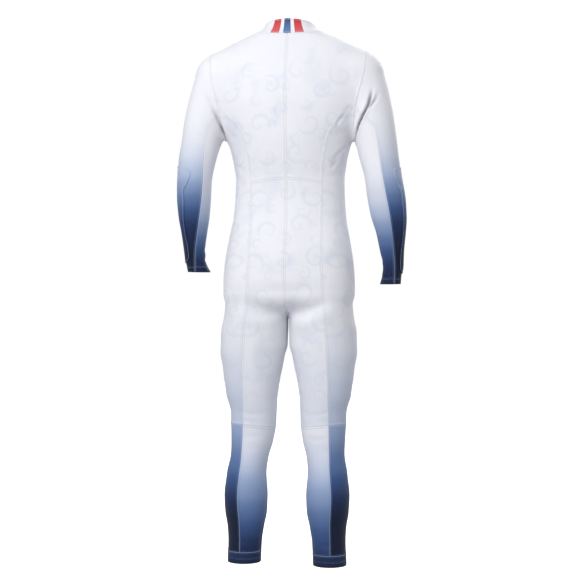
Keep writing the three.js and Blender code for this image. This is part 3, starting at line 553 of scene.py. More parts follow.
# Creases, by where they lie and the side of the suit: depth, half width and points. On the back and the
# front a point is a way out and a height, on a limb an angle round it (0 outwards, 90 behind, 180
# inwards, 270 in front) and a height.
CREASES = {
    ("back", -1): [
        (2.6, 5, [(228, -152), (222, -176), (215, -197)]),
        (8.6, 3.6, [(229, -158), (223, -184), (213, -208), (202, -228), (192, -249), (185, -272),
                    (179, -292)]),
        (5.5, 3.2, [(199, -234), (190, -256), (184, -276), (179, -296)]),
        (3.8, 4.2, [(247, -170), (231, -192), (217, -210)]),
        (1.8, 6, [(112, -356), (129, -334), (146, -314), (160, -298)]),
        (2.2, 5, [(166, -212), (146, -233), (134, -250)]),
        (1.3, 8, [(176, -150), (186, -178), (190, -205)]),
        (1.5, 7, [(152, -214), (166, -208), (184, -206)]),
        (1.2, 9, [(120, -262), (136, -274), (152, -280)]),
        (1.9, 6, [(137, -337), (127, -351), (116, -364)]),
        (0.9, 8, [(141, -372), (128, -380), (112, -384)]),
        # These two rows under the seat shape its fold, and also paint a soft band of shade below it.
        (4.8, 20, [(118, -708), (80, -732), (42, -743), (10, -744)]),
        (2.9, 12, [(112, -716), (78, -738), (44, -748), (14, -746)]),
        (0.9, 14, [(22, -690), (34, -736), (36, -780)]),
    ],
    ("back", 1): [
        (3.8, 5.5, [(205, -186), (192, -216), (181, -243), (173, -270)]),
        (4.6, 3.2, [(181, -240), (174, -260), (170, -276), (168, -292)]),
        (1.7, 5, [(219, -164), (211, -178), (201, -190)]),
        (1.2, 7, [(196, -170), (186, -184), (172, -192)]),
        (1.2, 8, [(160, -262), (146, -276), (130, -282)]),
        (1.2, 7, [(137, -350), (126, -360), (113, -370)]),
        # These two rows under the seat shape its fold, and also paint a soft band of shade below it.
        (4.2, 21, [(112, -704), (76, -730), (42, -742), (10, -744)]),
        (2.4, 12, [(108, -718), (76, -738), (44, -748), (14, -746)]),
        (0.9, 14, [(20, -700), (30, -740), (34, -776)]),
    ],
    ("front", -1): [
        (4.4, 6, [(214, -176), (200, -206), (190, -236), (182, -266)]),
        (2.0, 6, [(196, -158), (184, -184), (172, -214)]),
        (1.4, 8, [(176, -150), (150, -166), (126, -176)]), (1.7, 7, [(136, -346), (116, -360), (92, -366)]),
        (1.1, 9, [(130, -388), (104, -398), (70, -396)]), (2.2, 9, [(14, -706), (46, -714), (78, -708)]),
        (2.0, 8, [(14, -740), (40, -756), (70, -766)]), (1.1, 8, [(18, -780), (46, -796), (72, -800)]),
    ],
    ("front", 1): [
        (4.0, 6, [(216, -172), (203, -202), (192, -232), (182, -262)]),
        (1.8, 6, [(190, -168), (180, -192), (170, -222)]),
        (1.3, 9, [(168, -142), (146, -162), (118, -170)]), (1.5, 8, [(134, -352), (112, -364), (84, -366)]),
        (2.4, 9, [(12, -712), (42, -716), (82, -704)]), (1.8, 8, [(16, -744), (46, -756), (80, -758)]),
        (1.2, 8, [(20, -776), (44, -796), (66, -806)]),
    ],
    ("leg", 1): [
        (0.9, 7, [(140, -1008), (100, -1018), (62, -1012)]),
        (0.7, 6, [(122, -1030), (90, -1035), (58, -1030)]),
        (0.8, 7, [(136, -1080), (100, -1076), (66, -1084)]),
        (0.6, 7, [(160, -1104), (124, -1110), (92, -1104)]),
        (1.4, 6, [(150, -1350), (110, -1358), (70, -1352)]),
        (1.1, 6, [(216, -1362), (256, -1368), (296, -1360)]),
        (1.3, 9, [(232, -962), (266, -972), (300, -964)]),
    ],
    ("leg", -1): [
        (1.0, 7, [(150, -1012), (112, -1020), (70, -1010)]),
        (0.7, 6, [(118, -1034), (86, -1032), (60, -1036)]),
        (0.9, 7, [(140, -1078), (104, -1084), (70, -1078)]),
        (0.6, 8, [(112, -1108), (84, -1114), (56, -1106)]),
        (1.3, 6, [(140, -1358), (100, -1364), (66, -1356)]),
        (1.2, 6, [(226, -1352), (262, -1360), (304, -1354)]),
        (1.2, 9, [(240, -968), (272, -974), (306, -968)]),
    ],
    ("arm", 1): [
        (2.8, 7, [(222, -352), (258, -364), (296, -358)]),
        (2.0, 6, [(232, -378), (264, -388), (300, -380)]),
        (1.6, 7, [(214, -330), (250, -336), (284, -330)]),
        (1.4, 7, [(226, -410), (258, -416), (290, -408)]),
        (1.3, 6, [(170, -570), (214, -578), (258, -572)]),
        (1.2, 6, [(150, -596), (190, -602), (232, -596)]),
    ],
    ("arm", -1): [
        (2.4, 7, [(228, -360), (262, -372), (300, -366)]),
        (2.1, 6, [(220, -388), (252, -396), (288, -390)]),
        (1.4, 7, [(236, -334), (268, -340), (302, -334)]),
        (1.3, 7, [(230, -424), (262, -430), (298, -422)]),
        (1.4, 6, [(160, -600), (204, -608), (250, -602)]),
        (1.1, 6, [(176, -628), (214, -634), (256, -628)]),
    ],
}
# Bulge and far bulge are the ridges beside a trough, aside how many half widths off they lie. Late moves
# the deepest place along a crease, and taper rounds its ends. Only a narrow crease gets painted shade in
# its trough, and dark is the amount of it that paints the darkest tone.
CREASE_FORM = {"samples": 26, "bulge": 0.42, "far_bulge": 0.6, "aside": 1.75, "reach": 4.0, "narrow": 6.0,
               "dark": 7.0, "late": 1.35, "end": 0.001, "taper": 0.6}
# Slow waves of the cloth between its creases: height, lengths along x and z and a shift. The skew is how
# much y counts beside x.
WAVES = [(0.40, 43, 71, 0.7), (0.30, 29, 52, 2.1), (0.22, 64, 33, 4.0)]
WAVE_SKEW = 0.7


def crease_line(where, side, points):
    """The points of a crease on the skin, along a smooth line through its row of the table."""
    samples = np.linspace(0, 1, CREASE_FORM["samples"])
    line = through(points)(samples)
    if where in ("back", "front"):
        return face_at(side, {"back": 1, "front": -1}[where], line["x"], line["z"])
    limb_at = (ARM[side] if where == "arm" else LEG)(line["z"])
    turn = np.radians(line["x"])

    def path(r):
        return at(side * (limb_at["x"] + r * np.cos(turn)), limb_at["y"] + r * np.sin(turn), line["z"])

    return leave(side, path, turn.shape)


def crease_relief(points, normals, side):
    """How far creases move points along their normals, and how much painted shade a narrow one puts on
    each point, the more the deeper the point lies in it.
    Across a crease the height is a trough, minus exp(-(s/w)^2), with a softer ridge on each side, and
    it fades as a sine towards the two ends."""
    relief = np.zeros(points.shape[:-1])
    shade = np.zeros(points.shape[:-1])
    form = CREASE_FORM
    for depth, wide, line in CREASE_LINES[side]:
        reach = form["reach"] * wide
        near = ((points > line.min(0) - reach) & (points < line.max(0) + reach)).all(-1)
        if not near.any():
            continue
        p, n = points[near], normals[near]
        start, run = line[:-1], np.diff(line, axis=0)
        t = np.clip(((p[:, None] - start) * run).sum(-1) / (run * run).sum(-1), 0, 1)
        away = p[:, None] - start - run * t[..., None]
        far = np.linalg.norm(away, axis=-1)
        best = far.argmin(1)
        pick = np.arange(len(p))
        across = np.sign((away[pick, best] * np.cross(n, run[best])).sum(-1)) * far[pick, best] / wide
        along = ((best + t[pick, best]) / len(run)) ** form["late"]
        fade = np.sin(np.pi * np.clip(along, form["end"], 1 - form["end"])) ** form["taper"]
        near_ridge, far_ridge = (np.exp(-((across - way * form["aside"]) ** 2)) for way in (1, -1))
        ridges = near_ridge + form["far_bulge"] * far_ridge
        relief[near] += depth * fade * (form["bulge"] * ridges - np.exp(-(across**2)))
        shade[near] += depth * fade * np.exp(-(across**2)) * min(1, (form["narrow"] / wide) ** 2)
    return relief, shade


def wave_relief(points):
    """Slow swells of the cloth, each a product of two sines over the points' places."""
    x, y, z = points[..., 0], points[..., 1], points[..., 2]
    return sum(h * np.sin((x + WAVE_SKEW * y) / a + c) * np.sin(z / b + 2 * c) for h, a, b, c in WAVES)


CREASE_LINES = {1: [], -1: []}
for (where, side), rows in CREASES.items():
    CREASE_LINES[side] += [(depth, wide, crease_line(where, side, points)) for depth, wide, points in rows]


def graded(totals):
    """Places along lines of the given lengths, close together beside both ends and even between."""
    marks = BESIDE_SEAM
    inner = max(CROWDED["cells"], math.ceil((np.median(totals) - 2 * marks[-1]) / SPACING))
    near = marks * np.minimum(1, totals / (CROWDED["under"] * marks[-1]))[:, None]
    between = lerp(near[:, -1:], totals[:, None] - near[:, -1:], np.linspace(0, 1, inner + 1)[1:-1])
    return np.concatenate([near, between, totals[:, None] - near[:, ::-1]], axis=1)


def resample(grid):
    """The rows of a grid read anew at graded places, straight between their points. Any columns after
    the first three are carried along."""
    run = lengths(grid[..., :3], 1)
    places = graded(run[:, -1])
    index = (run[:, None, 1:-1] <= places[:, :, None]).sum(-1)
    rows = np.arange(len(grid))[:, None]
    start, end = run[rows, index], run[rows, index + 1]
    t = np.clip((places - start) / np.maximum(end - start, TINY), 0, 1)[..., None]
    return lerp(grid[rows, index], grid[rows, index + 1], t)


def regrid(side, grid, ring=False):
    """A grid with the same edges whose lines are graded, laid on the skin again between its edges."""
    if not ring:
        grid = resample(grid)
    grid = resample(grid.swapaxes(0, 1)).swapaxes(0, 1).copy()
    grid[1:-1, 1:-1] = settle(side, grid[1:-1, 1:-1])
    return grid


def edge_distances(grid):
    """How far each point of a grid is from its left, right, top and bottom edges along its lines."""
    across, down = lengths(grid, 1), lengths(grid, 0)
    return {"left": across, "right": across[:, -1:] - across, "top": down, "bottom": down[-1:] - down}


def add_mesh(name, points, corners, sizes, material, smooth=True):
    """A mesh object at the origin, its place in its mesh. Corners are the faces' indices one after
    another and sizes how many each face has. Smooth is one value or one for each face."""
    mesh = bpy.data.meshes.new(name)
    mesh.vertices.add(len(points))
    mesh.vertices.foreach_set("co", (points * MM).astype(np.float32).ravel())
    mesh.loops.add(len(corners))
    mesh.loops.foreach_set("vertex_index", corners.astype(np.int32))
    mesh.polygons.add(len(sizes))
    mesh.polygons.foreach_set("loop_start", (np.cumsum(sizes) - sizes).astype(np.int32))
    mesh.polygons.foreach_set("use_smooth", np.broadcast_to(smooth, len(sizes)).astype(bool))
    mesh.update(calc_edges=True)
    mesh.materials.append(material)
    made = bpy.data.objects.new(name, mesh)
    bpy.context.scene.collection.objects.link(made)
    return made


def grid_faces(rows, columns, ring):
    """The quads of a grid of points, as rows of four indices."""
    width = columns if ring else columns - 1
    j, i = np.meshgrid(np.arange(rows - 1), np.arange(width), indexing="ij")
    right = (i + 1) % columns
    quads = [j * columns + i, (j + 1) * columns + i, (j + 1) * columns + right, j * columns + right]
    return np.stack(quads, axis=-1).reshape(-1, 4)


def rim_of(rows, columns, ring):
    """The open edges of a grid as pairs of indices, each in the order that its own quad uses."""
    i, j = np.arange(columns if ring else columns - 1), np.arange(rows - 1)
    right, low = (i + 1) % columns, (rows - 1) * columns
    pairs = [np.stack([right, i], -1), np.stack([low + i, low + right], -1)]
    if not ring:
        last = columns - 1
        pairs += [np.stack([j * columns, (j + 1) * columns], -1),
                  np.stack([(j + 1) * columns + last, j * columns + last], -1)]
    return np.concatenate(pairs)


def put(mesh, name, kind, values):
    """Keeps one value or vector for each point of a mesh."""
    layer = mesh.attributes.new(name, kind, "POINT")
    layer.data.foreach_set("value" if kind == "FLOAT" else "vector", values.astype(np.float32).ravel())


def shell(name, outer, inner, material, uv, ring=False):
    """A closed shell from an outer and an inner grid: quads on both, the inner ones turned round, and
    a flat rim between them along each open edge."""
    rows, columns = outer.shape[:2]
    count = rows * columns
    quads, rim = grid_faces(rows, columns, ring), rim_of(rows, columns, ring)
    middle = quads[len(quads) // 2]
    corners, under = outer.reshape(-1, 3)[middle], inner.reshape(-1, 3)[middle]
    turn = np.cross(corners[1] - corners[0], corners[3] - corners[0])
    rim_quads = np.stack([rim[:, 1], rim[:, 0], rim[:, 0] + count, rim[:, 1] + count], axis=-1)
    faces = np.concatenate([quads, quads[:, ::-1] + count, rim_quads])
    if (turn * (corners - under)).sum() < 0:
        faces = faces[:, ::-1]
    smooth = np.arange(len(faces)) < 2 * len(quads)
    points = np.concatenate([outer.reshape(-1, 3), inner.reshape(-1, 3)])
    made = add_mesh(name, points, faces.ravel(), np.full(len(faces), 4), material, smooth)
    layer = made.data.uv_layers.new(name="cut")
    both = np.concatenate([uv.reshape(-1, 2)] * 2) * MM
    layer.data.foreach_set("uv", both[faces.ravel()].astype(np.float32).ravel())
    return made


FAR = {"turned": 99.0, "kept": 30.0}  # from an edge that isn't there, and the most that is kept
# The lines that are sewn, as points and normals, by the thread that sews them.
STITCH_LINES = {"body": [], "sleeve": [], "hem": [], "guard": []}


def cloth(name, side, grid, slot, material, thread, sewn=("left", "right", "top", "bottom"),
          turned=(), ring=False, normals=None, proud=0.0):
    """One cut piece of cloth as a shell: a band and a groove along its sewn edges, double cloth along
    its turned ones, and its creases. Its points keep their distance from a seam, how much painted shade
    they get in a crease's trough, and the print's strength."""
    if normals is None:
        normals = normals_at(side, grid)
    away = edge_distances(grid)
    seam = np.min([away[e] for e in sewn], axis=0)
    edge = np.min([away[e] for e in turned], axis=0) if turned else np.full(seam.shape, FAR["turned"])
    folds, shade = crease_relief(grid, normals, side)
    folds = folds + wave_relief(grid)
    band = SEAM["rise"] * (1 - ease(seam, SEAM["half"], SEAM["half"] + SEAM["step"]))
    groove = SEAM["groove"] * np.exp(-((seam / SEAM["groove_wide"]) ** 2))
    double = TURNED["rise"] * (1 - ease(edge, TURNED["deep"], TURNED["deep"] + TURNED["step"]))
    roll = TURNED["roll"] * np.exp(-((edge / TURNED["roll_wide"]) ** 2))
    top = folds + proud + np.maximum(band, double) - groove - roll
    lean = at(LEAN(grid[..., 2])["x"], 0, 0)
    outer = grid + normals * top[..., None] + lean
    inner = grid + normals * (folds + proud - CLOTH)[..., None] + lean
    keep = slice(None, -1) if ring else slice(None)
    uv = np.stack([away["left"], away["top"]], axis=-1)
    made = shell(f"{name}_cloth", outer[:, keep], inner[:, keep], material, uv[:, keep], ring)
    # The painted shade in the creases' troughs, from 0 to 1, kept with each point for the knit's colour.
    trough = np.clip(shade / CREASE_FORM["dark"], 0, 1)
    facts = at(np.minimum(seam, FAR["kept"]), 0, trough)[:, keep]
    put(made.data, "seam", "FLOAT_VECTOR", np.concatenate([facts, facts]))
    curls = scroll_print(grid, name)[:, keep]
    put(made.data, "print", "FLOAT", np.concatenate([curls, np.zeros_like(curls)]))
    near, far = SEAM["needle"], -1 - SEAM["needle"]
    along = slice(near, far)
    lines = {"left": (along, near), "right": (along, far), "top": (near, along), "bottom": (far, along)}
    places = [lines[e] for e in sewn if not (ring and e in ("left", "right"))]
    if turned:
        down = np.median(away["bottom"], axis=1)
        places += [(np.abs(down - d).argmin(), slice(1, -1)) for d in TURNED["needles"]]
    STITCH_LINES[thread] += [(outer[place], normals[place]) for place in places]
    finish_cloth(made, name, slot, grid)
    return outer, normals


def finish_cloth(made, name, slot, grid):
    """Attaches a piece of cloth to the suit's body and hides the CAD node that it takes the place of."""
    wide, long = lengths(grid, 1)[:, -1].max(), lengths(grid, 0)[-1].max()
    du, dv = np.diff(grid, axis=1)[:-1], np.diff(grid, axis=0)[:, :-1]
    area = np.linalg.norm(np.cross(du, dv), axis=-1).sum()
    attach(made, "suit")
    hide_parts(name)


# The pale print: curls of a generic scroll, each a centre across and up, a size, a turn in degrees
# and a hand. A curl is a spiral stroke that widens outwards, between its least and its whole size.
SCROLL = [
    (-150, -120, 38, 20, 1), (-92, -158, 33, 200, -1), (-34, -112, 28, 80, 1), (38, -150, 34, 300, -1),
    (96, -112, 30, 130, 1), (152, -168, 36, 250, -1), (-128, -232, 31, 140, -1), (-66, -246, 38, 330, 1),
    (4, -212, 28, 60, -1), (70, -250, 36, 190, 1), (128, -262, 28, 20, -1), (-104, -318, 33, 260, 1),
    (-30, -322, 34, 110, -1), (44, -332, 30, 340, 1), (106, -340, 33, 90, -1), (-78, -440, 38, 40, 1),
    (0, -428, 31, 230, -1), (76, -452, 36, 150, 1), (-118, -520, 33, 310, -1), (-36, -516, 36, 170, 1),
    (42, -530, 33, 20, -1), (120, -524, 34, 260, 1), (-84, -604, 36, 100, 1), (4, -612, 30, 290, -1),
    (88, -616, 38, 210, 1), (-140, -668, 31, 10, -1), (-46, -690, 33, 240, 1), (54, -700, 33, 120, -1),
    (142, -690, 31, 330, 1), (-104, -772, 36, 60, 1), (100, -784, 36, 200, -1), (-60, -862, 31, 160, -1),
    (56, -870, 31, 340, 1), (-128, -882, 33, 290, 1), (128, -896, 33, 80, -1), (-88, -968, 28, 220, 1),
    (84, -976, 28, 40, -1),
]
STROKE = {"growth": 0.26, "wide": 0.08, "soft": 0.2, "least": 0.10, "fades": 0.85, "full": 0.25,
          "core": 0.001}
# A second, finer set of curls lies between the first: its shift, its size and its turn beside them.
SECOND = {"shift": (33, -39), "size": 0.62, "turn": 145}
# The heights over which the print comes up from the top and goes out at the bottom.
SCROLL_FADE = {"top": (-40, -110), "bottom": (-940, -1035)}


def scroll_print(grid, name):
    """The print's strength from 0 to 1, which is 1 all over the collar. Round each centre the stroke is
    where the distance r is near exp(growth x (angle + full turns)), as a share of the curl's size, and
    its width goes with r."""
    if not name.startswith(("back", "seat", "front", "side")):
        return np.full(grid.shape[:2], float(name == "collar"))
    across = grid[..., 1] if name.startswith("side") else grid[..., 0]
    z = grid[..., 2]
    strength = np.zeros(z.shape)
    right, up = SECOND["shift"]
    fine = [(cx + right, cz + up, size * SECOND["size"], turn + SECOND["turn"], -hand)
            for cx, cz, size, turn, hand in SCROLL]
    for cx, cz, size, turn, hand in SCROLL + fine:
        dx, dz = (across - cx) / size, (z - cz) / size
        r = np.maximum(np.hypot(dx, dz), STROKE["core"])
        angle = hand * np.arctan2(dz, dx) - math.radians(turn)
        winds = (np.log(r) / STROKE["growth"] - angle) / (2 * math.pi)
        off = np.abs(winds - np.round(winds)) * 2 * math.pi * STROKE["growth"]
        stroke = 1 - ease(off, STROKE["wide"], STROKE["wide"] + STROKE["soft"])
        within = ease(r, STROKE["least"], STROKE["least"] * 2) * (1 - ease(r, STROKE["fades"], 1))
        strength = np.maximum(strength, stroke * within * STROKE["full"])
    high, low = SCROLL_FADE["top"], SCROLL_FADE["bottom"]
    return strength * ease(-z, -high[0], -high[1]) * (1 - ease(-z, -low[0], -low[1]))


# A strand's rings lie this share of its length off its middle.
SPINDLE = 0.3


def strands(name, places, ways, normals, size, material):
    """Many small threads or teeth as one mesh. Each is a spindle of two points and two square rings,
    with its length along its way, its width across and its height along the normal."""
    square = ((0.5, 0), (0, 0.5), (-0.5, 0), (0, -0.5))
    rings = [(end, a, b) for end in (-SPINDLE, SPINDLE) for a, b in square]
    spindle = np.array([(-0.5, 0, 0), *rings, (0.5, 0, 0)]) * size
    turns = [(k, (k + 1) % 4) for k in range(4)]
    faces = [(0, 1 + after, 1 + k) for k, after in turns]
    faces += [(1 + k, 1 + after, 5 + after, 5 + k) for k, after in turns]
    faces += [(9, 5 + k, 5 + after) for k, after in turns]
    ways = unit(ways)
    across = unit(np.cross(normals, ways))
    frames = np.stack([ways, across, np.cross(ways, across)], axis=1)
    points = places[:, None] + np.einsum("vk,nkc->nvc", spindle, frames)
    shift = np.arange(len(places)) * len(spindle)
    corners = (np.concatenate(faces)[None, :] + shift[:, None]).ravel()
    sizes = np.tile([len(face) for face in faces], len(places))
    made = add_mesh(name, points.reshape(-1, 3), corners, sizes, material)
    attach(made, "suit")
    return made


STITCH = {"pitch": 3.2, "size": (2.7, 0.7, 0.5)}
GUARD_STITCH = {"pitch": 4.0, "size": (3.3, 1.4, 0.7)}
# The threads: their finish, their slot and their stitch.
SEWING = {
    "body": ("thread_body", "body_knit", STITCH), "sleeve": ("thread_sleeve", "outer_sleeve_knit", STITCH),
    "hem": ("thread_hem", "hem_band", STITCH), "guard": ("thread_light", "guard_knit", GUARD_STITCH),
}


def sew(kind, looks):
    """The stitches of one thread, evenly spaced along each line that it sews."""
    thread, slot, stitch = SEWING[kind]
    half = stitch["size"][0] / 2
    threads = []
    for points, up in STITCH_LINES[kind]:
        run = lengths(points, 0)
        where = np.arange(stitch["pitch"] / 2, run[-1], stitch["pitch"])
        ahead, behind = (read_along(where + step, run, points) for step in (half, -half))
        threads.append((read_along(where, run, points), ahead - behind, read_along(where, run, up)))
    places, ways, normals = (np.concatenate(v) for v in zip(*threads))
    strands(f"stitches_{kind}", places, ways, normals, stitch["size"], looks[thread])


# Finishes

def colour(r, g, b):
    """A screen colour from 0 to 255 as the linear colour that a shader takes."""
    c = np.array([r, g, b]) / 255
    return (*np.where(c <= 0.04045, c / 12.92, ((c + 0.055) / 1.055) ** 2.4), 1.0)


def feed(tree, socket, value):
    """Links a value to a socket if it is a socket itself, or else sets it there."""
    if isinstance(value, bpy.types.NodeSocket):
        tree.links.new(value, socket)
    else:
        socket.default_value = value


def node(tree, kind, inputs=None, **settings):
    """Adds a shader node with its settings and inputs, and gives its outputs."""
    made = tree.nodes.new("ShaderNode" + kind)
    for key, value in settings.items():
        setattr(made, key, value)
    for key, value in (inputs or {}).items():
        feed(tree, made.inputs[key], value)
    return made.outputs


def maths(tree, operation, *values):
    """One sum, product or other operation on values or sockets."""
    return node(tree, "Math", dict(enumerate(values)), operation=operation)[0]


def product(tree, *values):
    """Values multiplied together, in their order."""
    made = values[0]
    for value in values[1:]:
        made = maths(tree, "MULTIPLY", made, value)
    return made


def soft_step(tree, value, low, high, start=0.0, end=1.0, kind="SMOOTHSTEP"):
    """A step of a value from one result to another, soft unless its kind is another."""
    inputs = {"Value": value, "From Min": low, "From Max": high, "To Min": start, "To Max": end}
    return node(tree, "MapRange", inputs, interpolation_type=kind)["Result"]


def tint(tree, base, over, factor, how="MIX"):
    """A colour blended with another by a factor, the way that how names."""
    return node(tree, "Mix", {0: factor, 6: base, 7: over}, data_type="RGBA", blend_type=how)[2]


def place_of(tree):
    """Where a point of the piece is, in metres."""
    return node(tree, "TexCoord")["Object"]


def axes(tree, vector):
    """The three parts of a vector."""
    return tuple(node(tree, "SeparateXYZ", {"Vector": vector}))


def noise(tree, scale, detail):
    """An even noise over the piece."""
    return node(tree, "TexNoise", {"Vector": place_of(tree), "Scale": scale, "Detail": detail})["Fac"]


def carried(tree, name):
    """The outputs of what a piece keeps for each of its points."""
    return node(tree, "Attribute", attribute_name=name)


def group(name, inputs, outputs):
    """A shader node group with named sockets, and its input and output nodes."""
    tree = bpy.data.node_groups.new(name, "ShaderNodeTree")
    for title, kind, value in inputs:
        socket = tree.interface.new_socket(name=title, in_out="INPUT", socket_type="NodeSocket" + kind)
        if value is not None:
            socket.default_value = value
    for title, kind in outputs:
        tree.interface.new_socket(name=title, in_out="OUTPUT", socket_type="NodeSocket" + kind)
    return tree, tree.nodes.new("NodeGroupInput").outputs, tree.nodes.new("NodeGroupOutput").inputs


# The thread that shows along a seam.
THREAD = colour(186, 206, 240)
# The knit: how often its wales and courses turn in a stitch, what the courses add, and its height.
KNIT_FORM = {"wales": 2, "courses": 2.6, "rise": 1.6, "high": 0.00012}
# The scale and the detail of the cloth's noises.
BLOTCH, GRAIN, CLOUD = (9.0, 3.0), (420.0, 1.0), (17.0, 4.0)
# Soft steps in the cloth: where each starts and ends, and its values there.
STEPS = {
    # The groove, band, beyond and trough steps are painted shade: a darker tone in the seams' grooves, at the
    # bands' edges and in the creases' troughs. The blotch and the grain are the cloth's own uneven tone.
    "thread": (0.9, 1.5, 1.0, 0.0), "groove": (0.1, 0.6, 0.88, 1.0), "band": (4.0, 4.9, 1.0, 0.972),
    "beyond": (5.2, 7.0, 0.0, 0.028), "trough": (0.0, 1.0, 1.0, 0.26), "blotch": (0.3, 0.7, 0.982, 1.012),
    "grain": (0.3, 0.7, 0.985, 1.01), "rough": (0.2, 0.8, -0.05, 0.05), "cloud": (0.46, 0.72, 0.0, 0.28),
}


def make_knit():
    """The look of a bonded stretch knit: fine wales and courses in the height, an uneven tone, painted
    shade in the groove and at the band's edge along the seams, and painted shade in the creases' troughs."""
    tree, given, result = group(
        "stretch_knit",
        [("Colour", "Color", None), ("Stitch", "Float", 0.0007), ("Depth", "Float", 0.35),
         ("Roughness", "Float", 0.5), ("Thread", "Float", 0.32)],
        [("Colour", "Color"), ("Roughness", "Float"), ("Normal", "Vector")],
    )
    form = KNIT_FORM
    across, along, _ = axes(tree, node(tree, "UVMap", uv_map="cut")["UV"])
    wales, courses = (
        maths(tree, "SINE", product(tree, maths(tree, "DIVIDE", way, given["Stitch"]), turns * math.pi))
        for way, turns in ((across, form["wales"]), (along, form["courses"])))
    high = product(tree, maths(tree, "ABSOLUTE", wales), maths(tree, "ADD", courses, form["rise"]))
    blotch, grain = noise(tree, *BLOTCH), noise(tree, *GRAIN)
    seam, _, trough = axes(tree, carried(tree, "seam")["Vector"])

    def step(name, value):
        return soft_step(tree, value, *STEPS[name])

    # The groove, the band's edge and the troughs darken the tone as painted shade; the blotch and the grain
    # are the cloth's own uneven tone.
    band = maths(tree, "ADD", step("band", seam), step("beyond", seam))
    tone = product(tree, step("groove", seam), band, step("trough", trough), step("blotch", blotch),
                   step("grain", grain))
    painted_shade_and_tone = node(tree, "CombineColor", {"Red": tone, "Green": tone, "Blue": tone})[0]
    thread = product(tree, step("thread", seam), given["Thread"])
    lined = tint(tree, given["Colour"], THREAD, thread, "LIGHTEN")
    bump = node(tree, "Bump", {"Height": high, "Strength": given["Depth"], "Distance": form["high"]})
    feed(tree, result["Colour"], tint(tree, lined, painted_shade_and_tone, 1.0, "MULTIPLY"))
    feed(tree, result["Roughness"], maths(tree, "ADD", given["Roughness"], step("rough", grain)))
    feed(tree, result["Normal"], bump["Normal"])
    return tree


KNIT = make_knit()
PRINT_COLOUR = colour(194, 205, 221)


def make_print():
    """The look of the pale print over a colour: soft clouds of its own colour, and its curls on them."""
    tree, given, result = group("pale_print", [("Colour", "Color", None)], [("Colour", "Color")])
    cloud = soft_step(tree, noise(tree, *CLOUD), *STEPS["cloud"])
    shade = given["Colour"]
    for strength in (cloud, carried(tree, "print")["Fac"]):
        shade = tint(tree, shade, PRINT_COLOUR, strength)
    feed(tree, result["Colour"], shade)
    return tree


PRINT = make_print()


def by_height(tree, stops):
    """A colour that changes with the height, through shades and the heights in millimetres they are at.
    The ramp runs a millimetre past them."""
    high, low = max(stops.values()) + 1, min(stops.values()) - 1
    _, _, z = axes(tree, place_of(tree))
    share = soft_step(tree, z, low * MM, high * MM, kind="LINEAR")
    made = tree.nodes.new("ShaderNodeValToRGB")
    feed(tree, made.inputs["Fac"], share)
    ramp = made.color_ramp
    ramp.interpolation = "EASE" if len(stops) < 3 else "CARDINAL"
    rows = sorted(((height - low) / (high - low), SHADES[shade]) for shade, height in stops.items())
    ramp.elements[0].color, ramp.elements[1].color = colour(*rows[0][1]), colour(*rows[-1][1])
    for position, shade in rows:
        ramp.elements.new(position).color = colour(*shade)
    return made.outputs["Color"]


def new_material(name, make):
    """A material whose shader gets the plain values and the sockets that make gives for its tree."""
    material = bpy.data.materials.new(name)
    material.use_nodes = True
    shader = material.node_tree.nodes["Principled BSDF"]
    for key, value in make(material.node_tree).items():
        feed(material.node_tree, shader.inputs[key], value)
    return material


def surface(tree, effect, given):
    """The colour, roughness and normal that an effect's group gives a shader for its inputs."""
    out = node(tree, "Group", given, node_tree=effect)
    return {"Base Color": out["Colour"], "Roughness": out["Roughness"], "Normal": out["Normal"]}


# The low sheen that all the knits have.
SHEEN = {"Specular IOR Level": 0.18, "Sheen Weight": 0.04, "Sheen Roughness": 0.5}


def knit_material(name, stops, printed=False, roughness=0.52, extra=None, thread=0.32):
    """A stretch knit whose colour follows the height. Extra paints more on it, given its tree."""

    def make(tree):
        shade = by_height(tree, stops)
        if printed:
            shade = node(tree, "Group", {"Colour": shade}, node_tree=PRINT)["Colour"]
        if extra:
            shade = extra(tree, shade)
        given = {"Colour": shade, "Roughness": roughness, "Thread": thread}
        return {**surface(tree, KNIT, given), **SHEEN}

    return new_material(name, make)


# The collar's stripes in metres: the set's half widths at its top and bottom and the heights of these,
# the power of its flare, and the shares of it at which the blue ends and the red starts.
STRIPES = {"top": 0.0348, "bottom": 0.0455, "high": 0.041, "low": 0.001, "flare": 1.6, "blue": 0.23,
           "red": 0.466, "soft": 0.012}
# Each stripe's colours at the top and at the bottom.
STRIPE_COLOURS = {"red": ((194, 44, 56), (214, 96, 96)), "blue": ((40, 68, 112), (98, 130, 174))}


def stripes(tree, base):
    """Red, white, blue, white and red stripes that fan out down the back of the collar."""
    x, y, z = axes(tree, place_of(tree))
    down = soft_step(tree, z, STRIPES["high"], STRIPES["low"], kind="LINEAR")
    flare = maths(tree, "POWER", down, STRIPES["flare"])
    half = soft_step(tree, flare, 0.0, 1.0, STRIPES["top"], STRIPES["bottom"], "LINEAR")
    share = maths(tree, "DIVIDE", maths(tree, "ABSOLUTE", x), half)
    behind = product(tree, maths(tree, "GREATER_THAN", y, 0.0), carried(tree, "print")["Fac"])
    soft = STRIPES["soft"]
    for name, start, end in (("red", STRIPES["red"], 1.0), ("blue", -1.0, STRIPES["blue"])):
        within = product(tree, soft_step(tree, share, start - soft, start + soft),
                         soft_step(tree, share, end - soft, end + soft, 1.0, 0.0), behind)
        top, bottom = STRIPE_COLOURS[name]
        base = tint(tree, base, tint(tree, colour(*top), colour(*bottom), down), within)
    return base
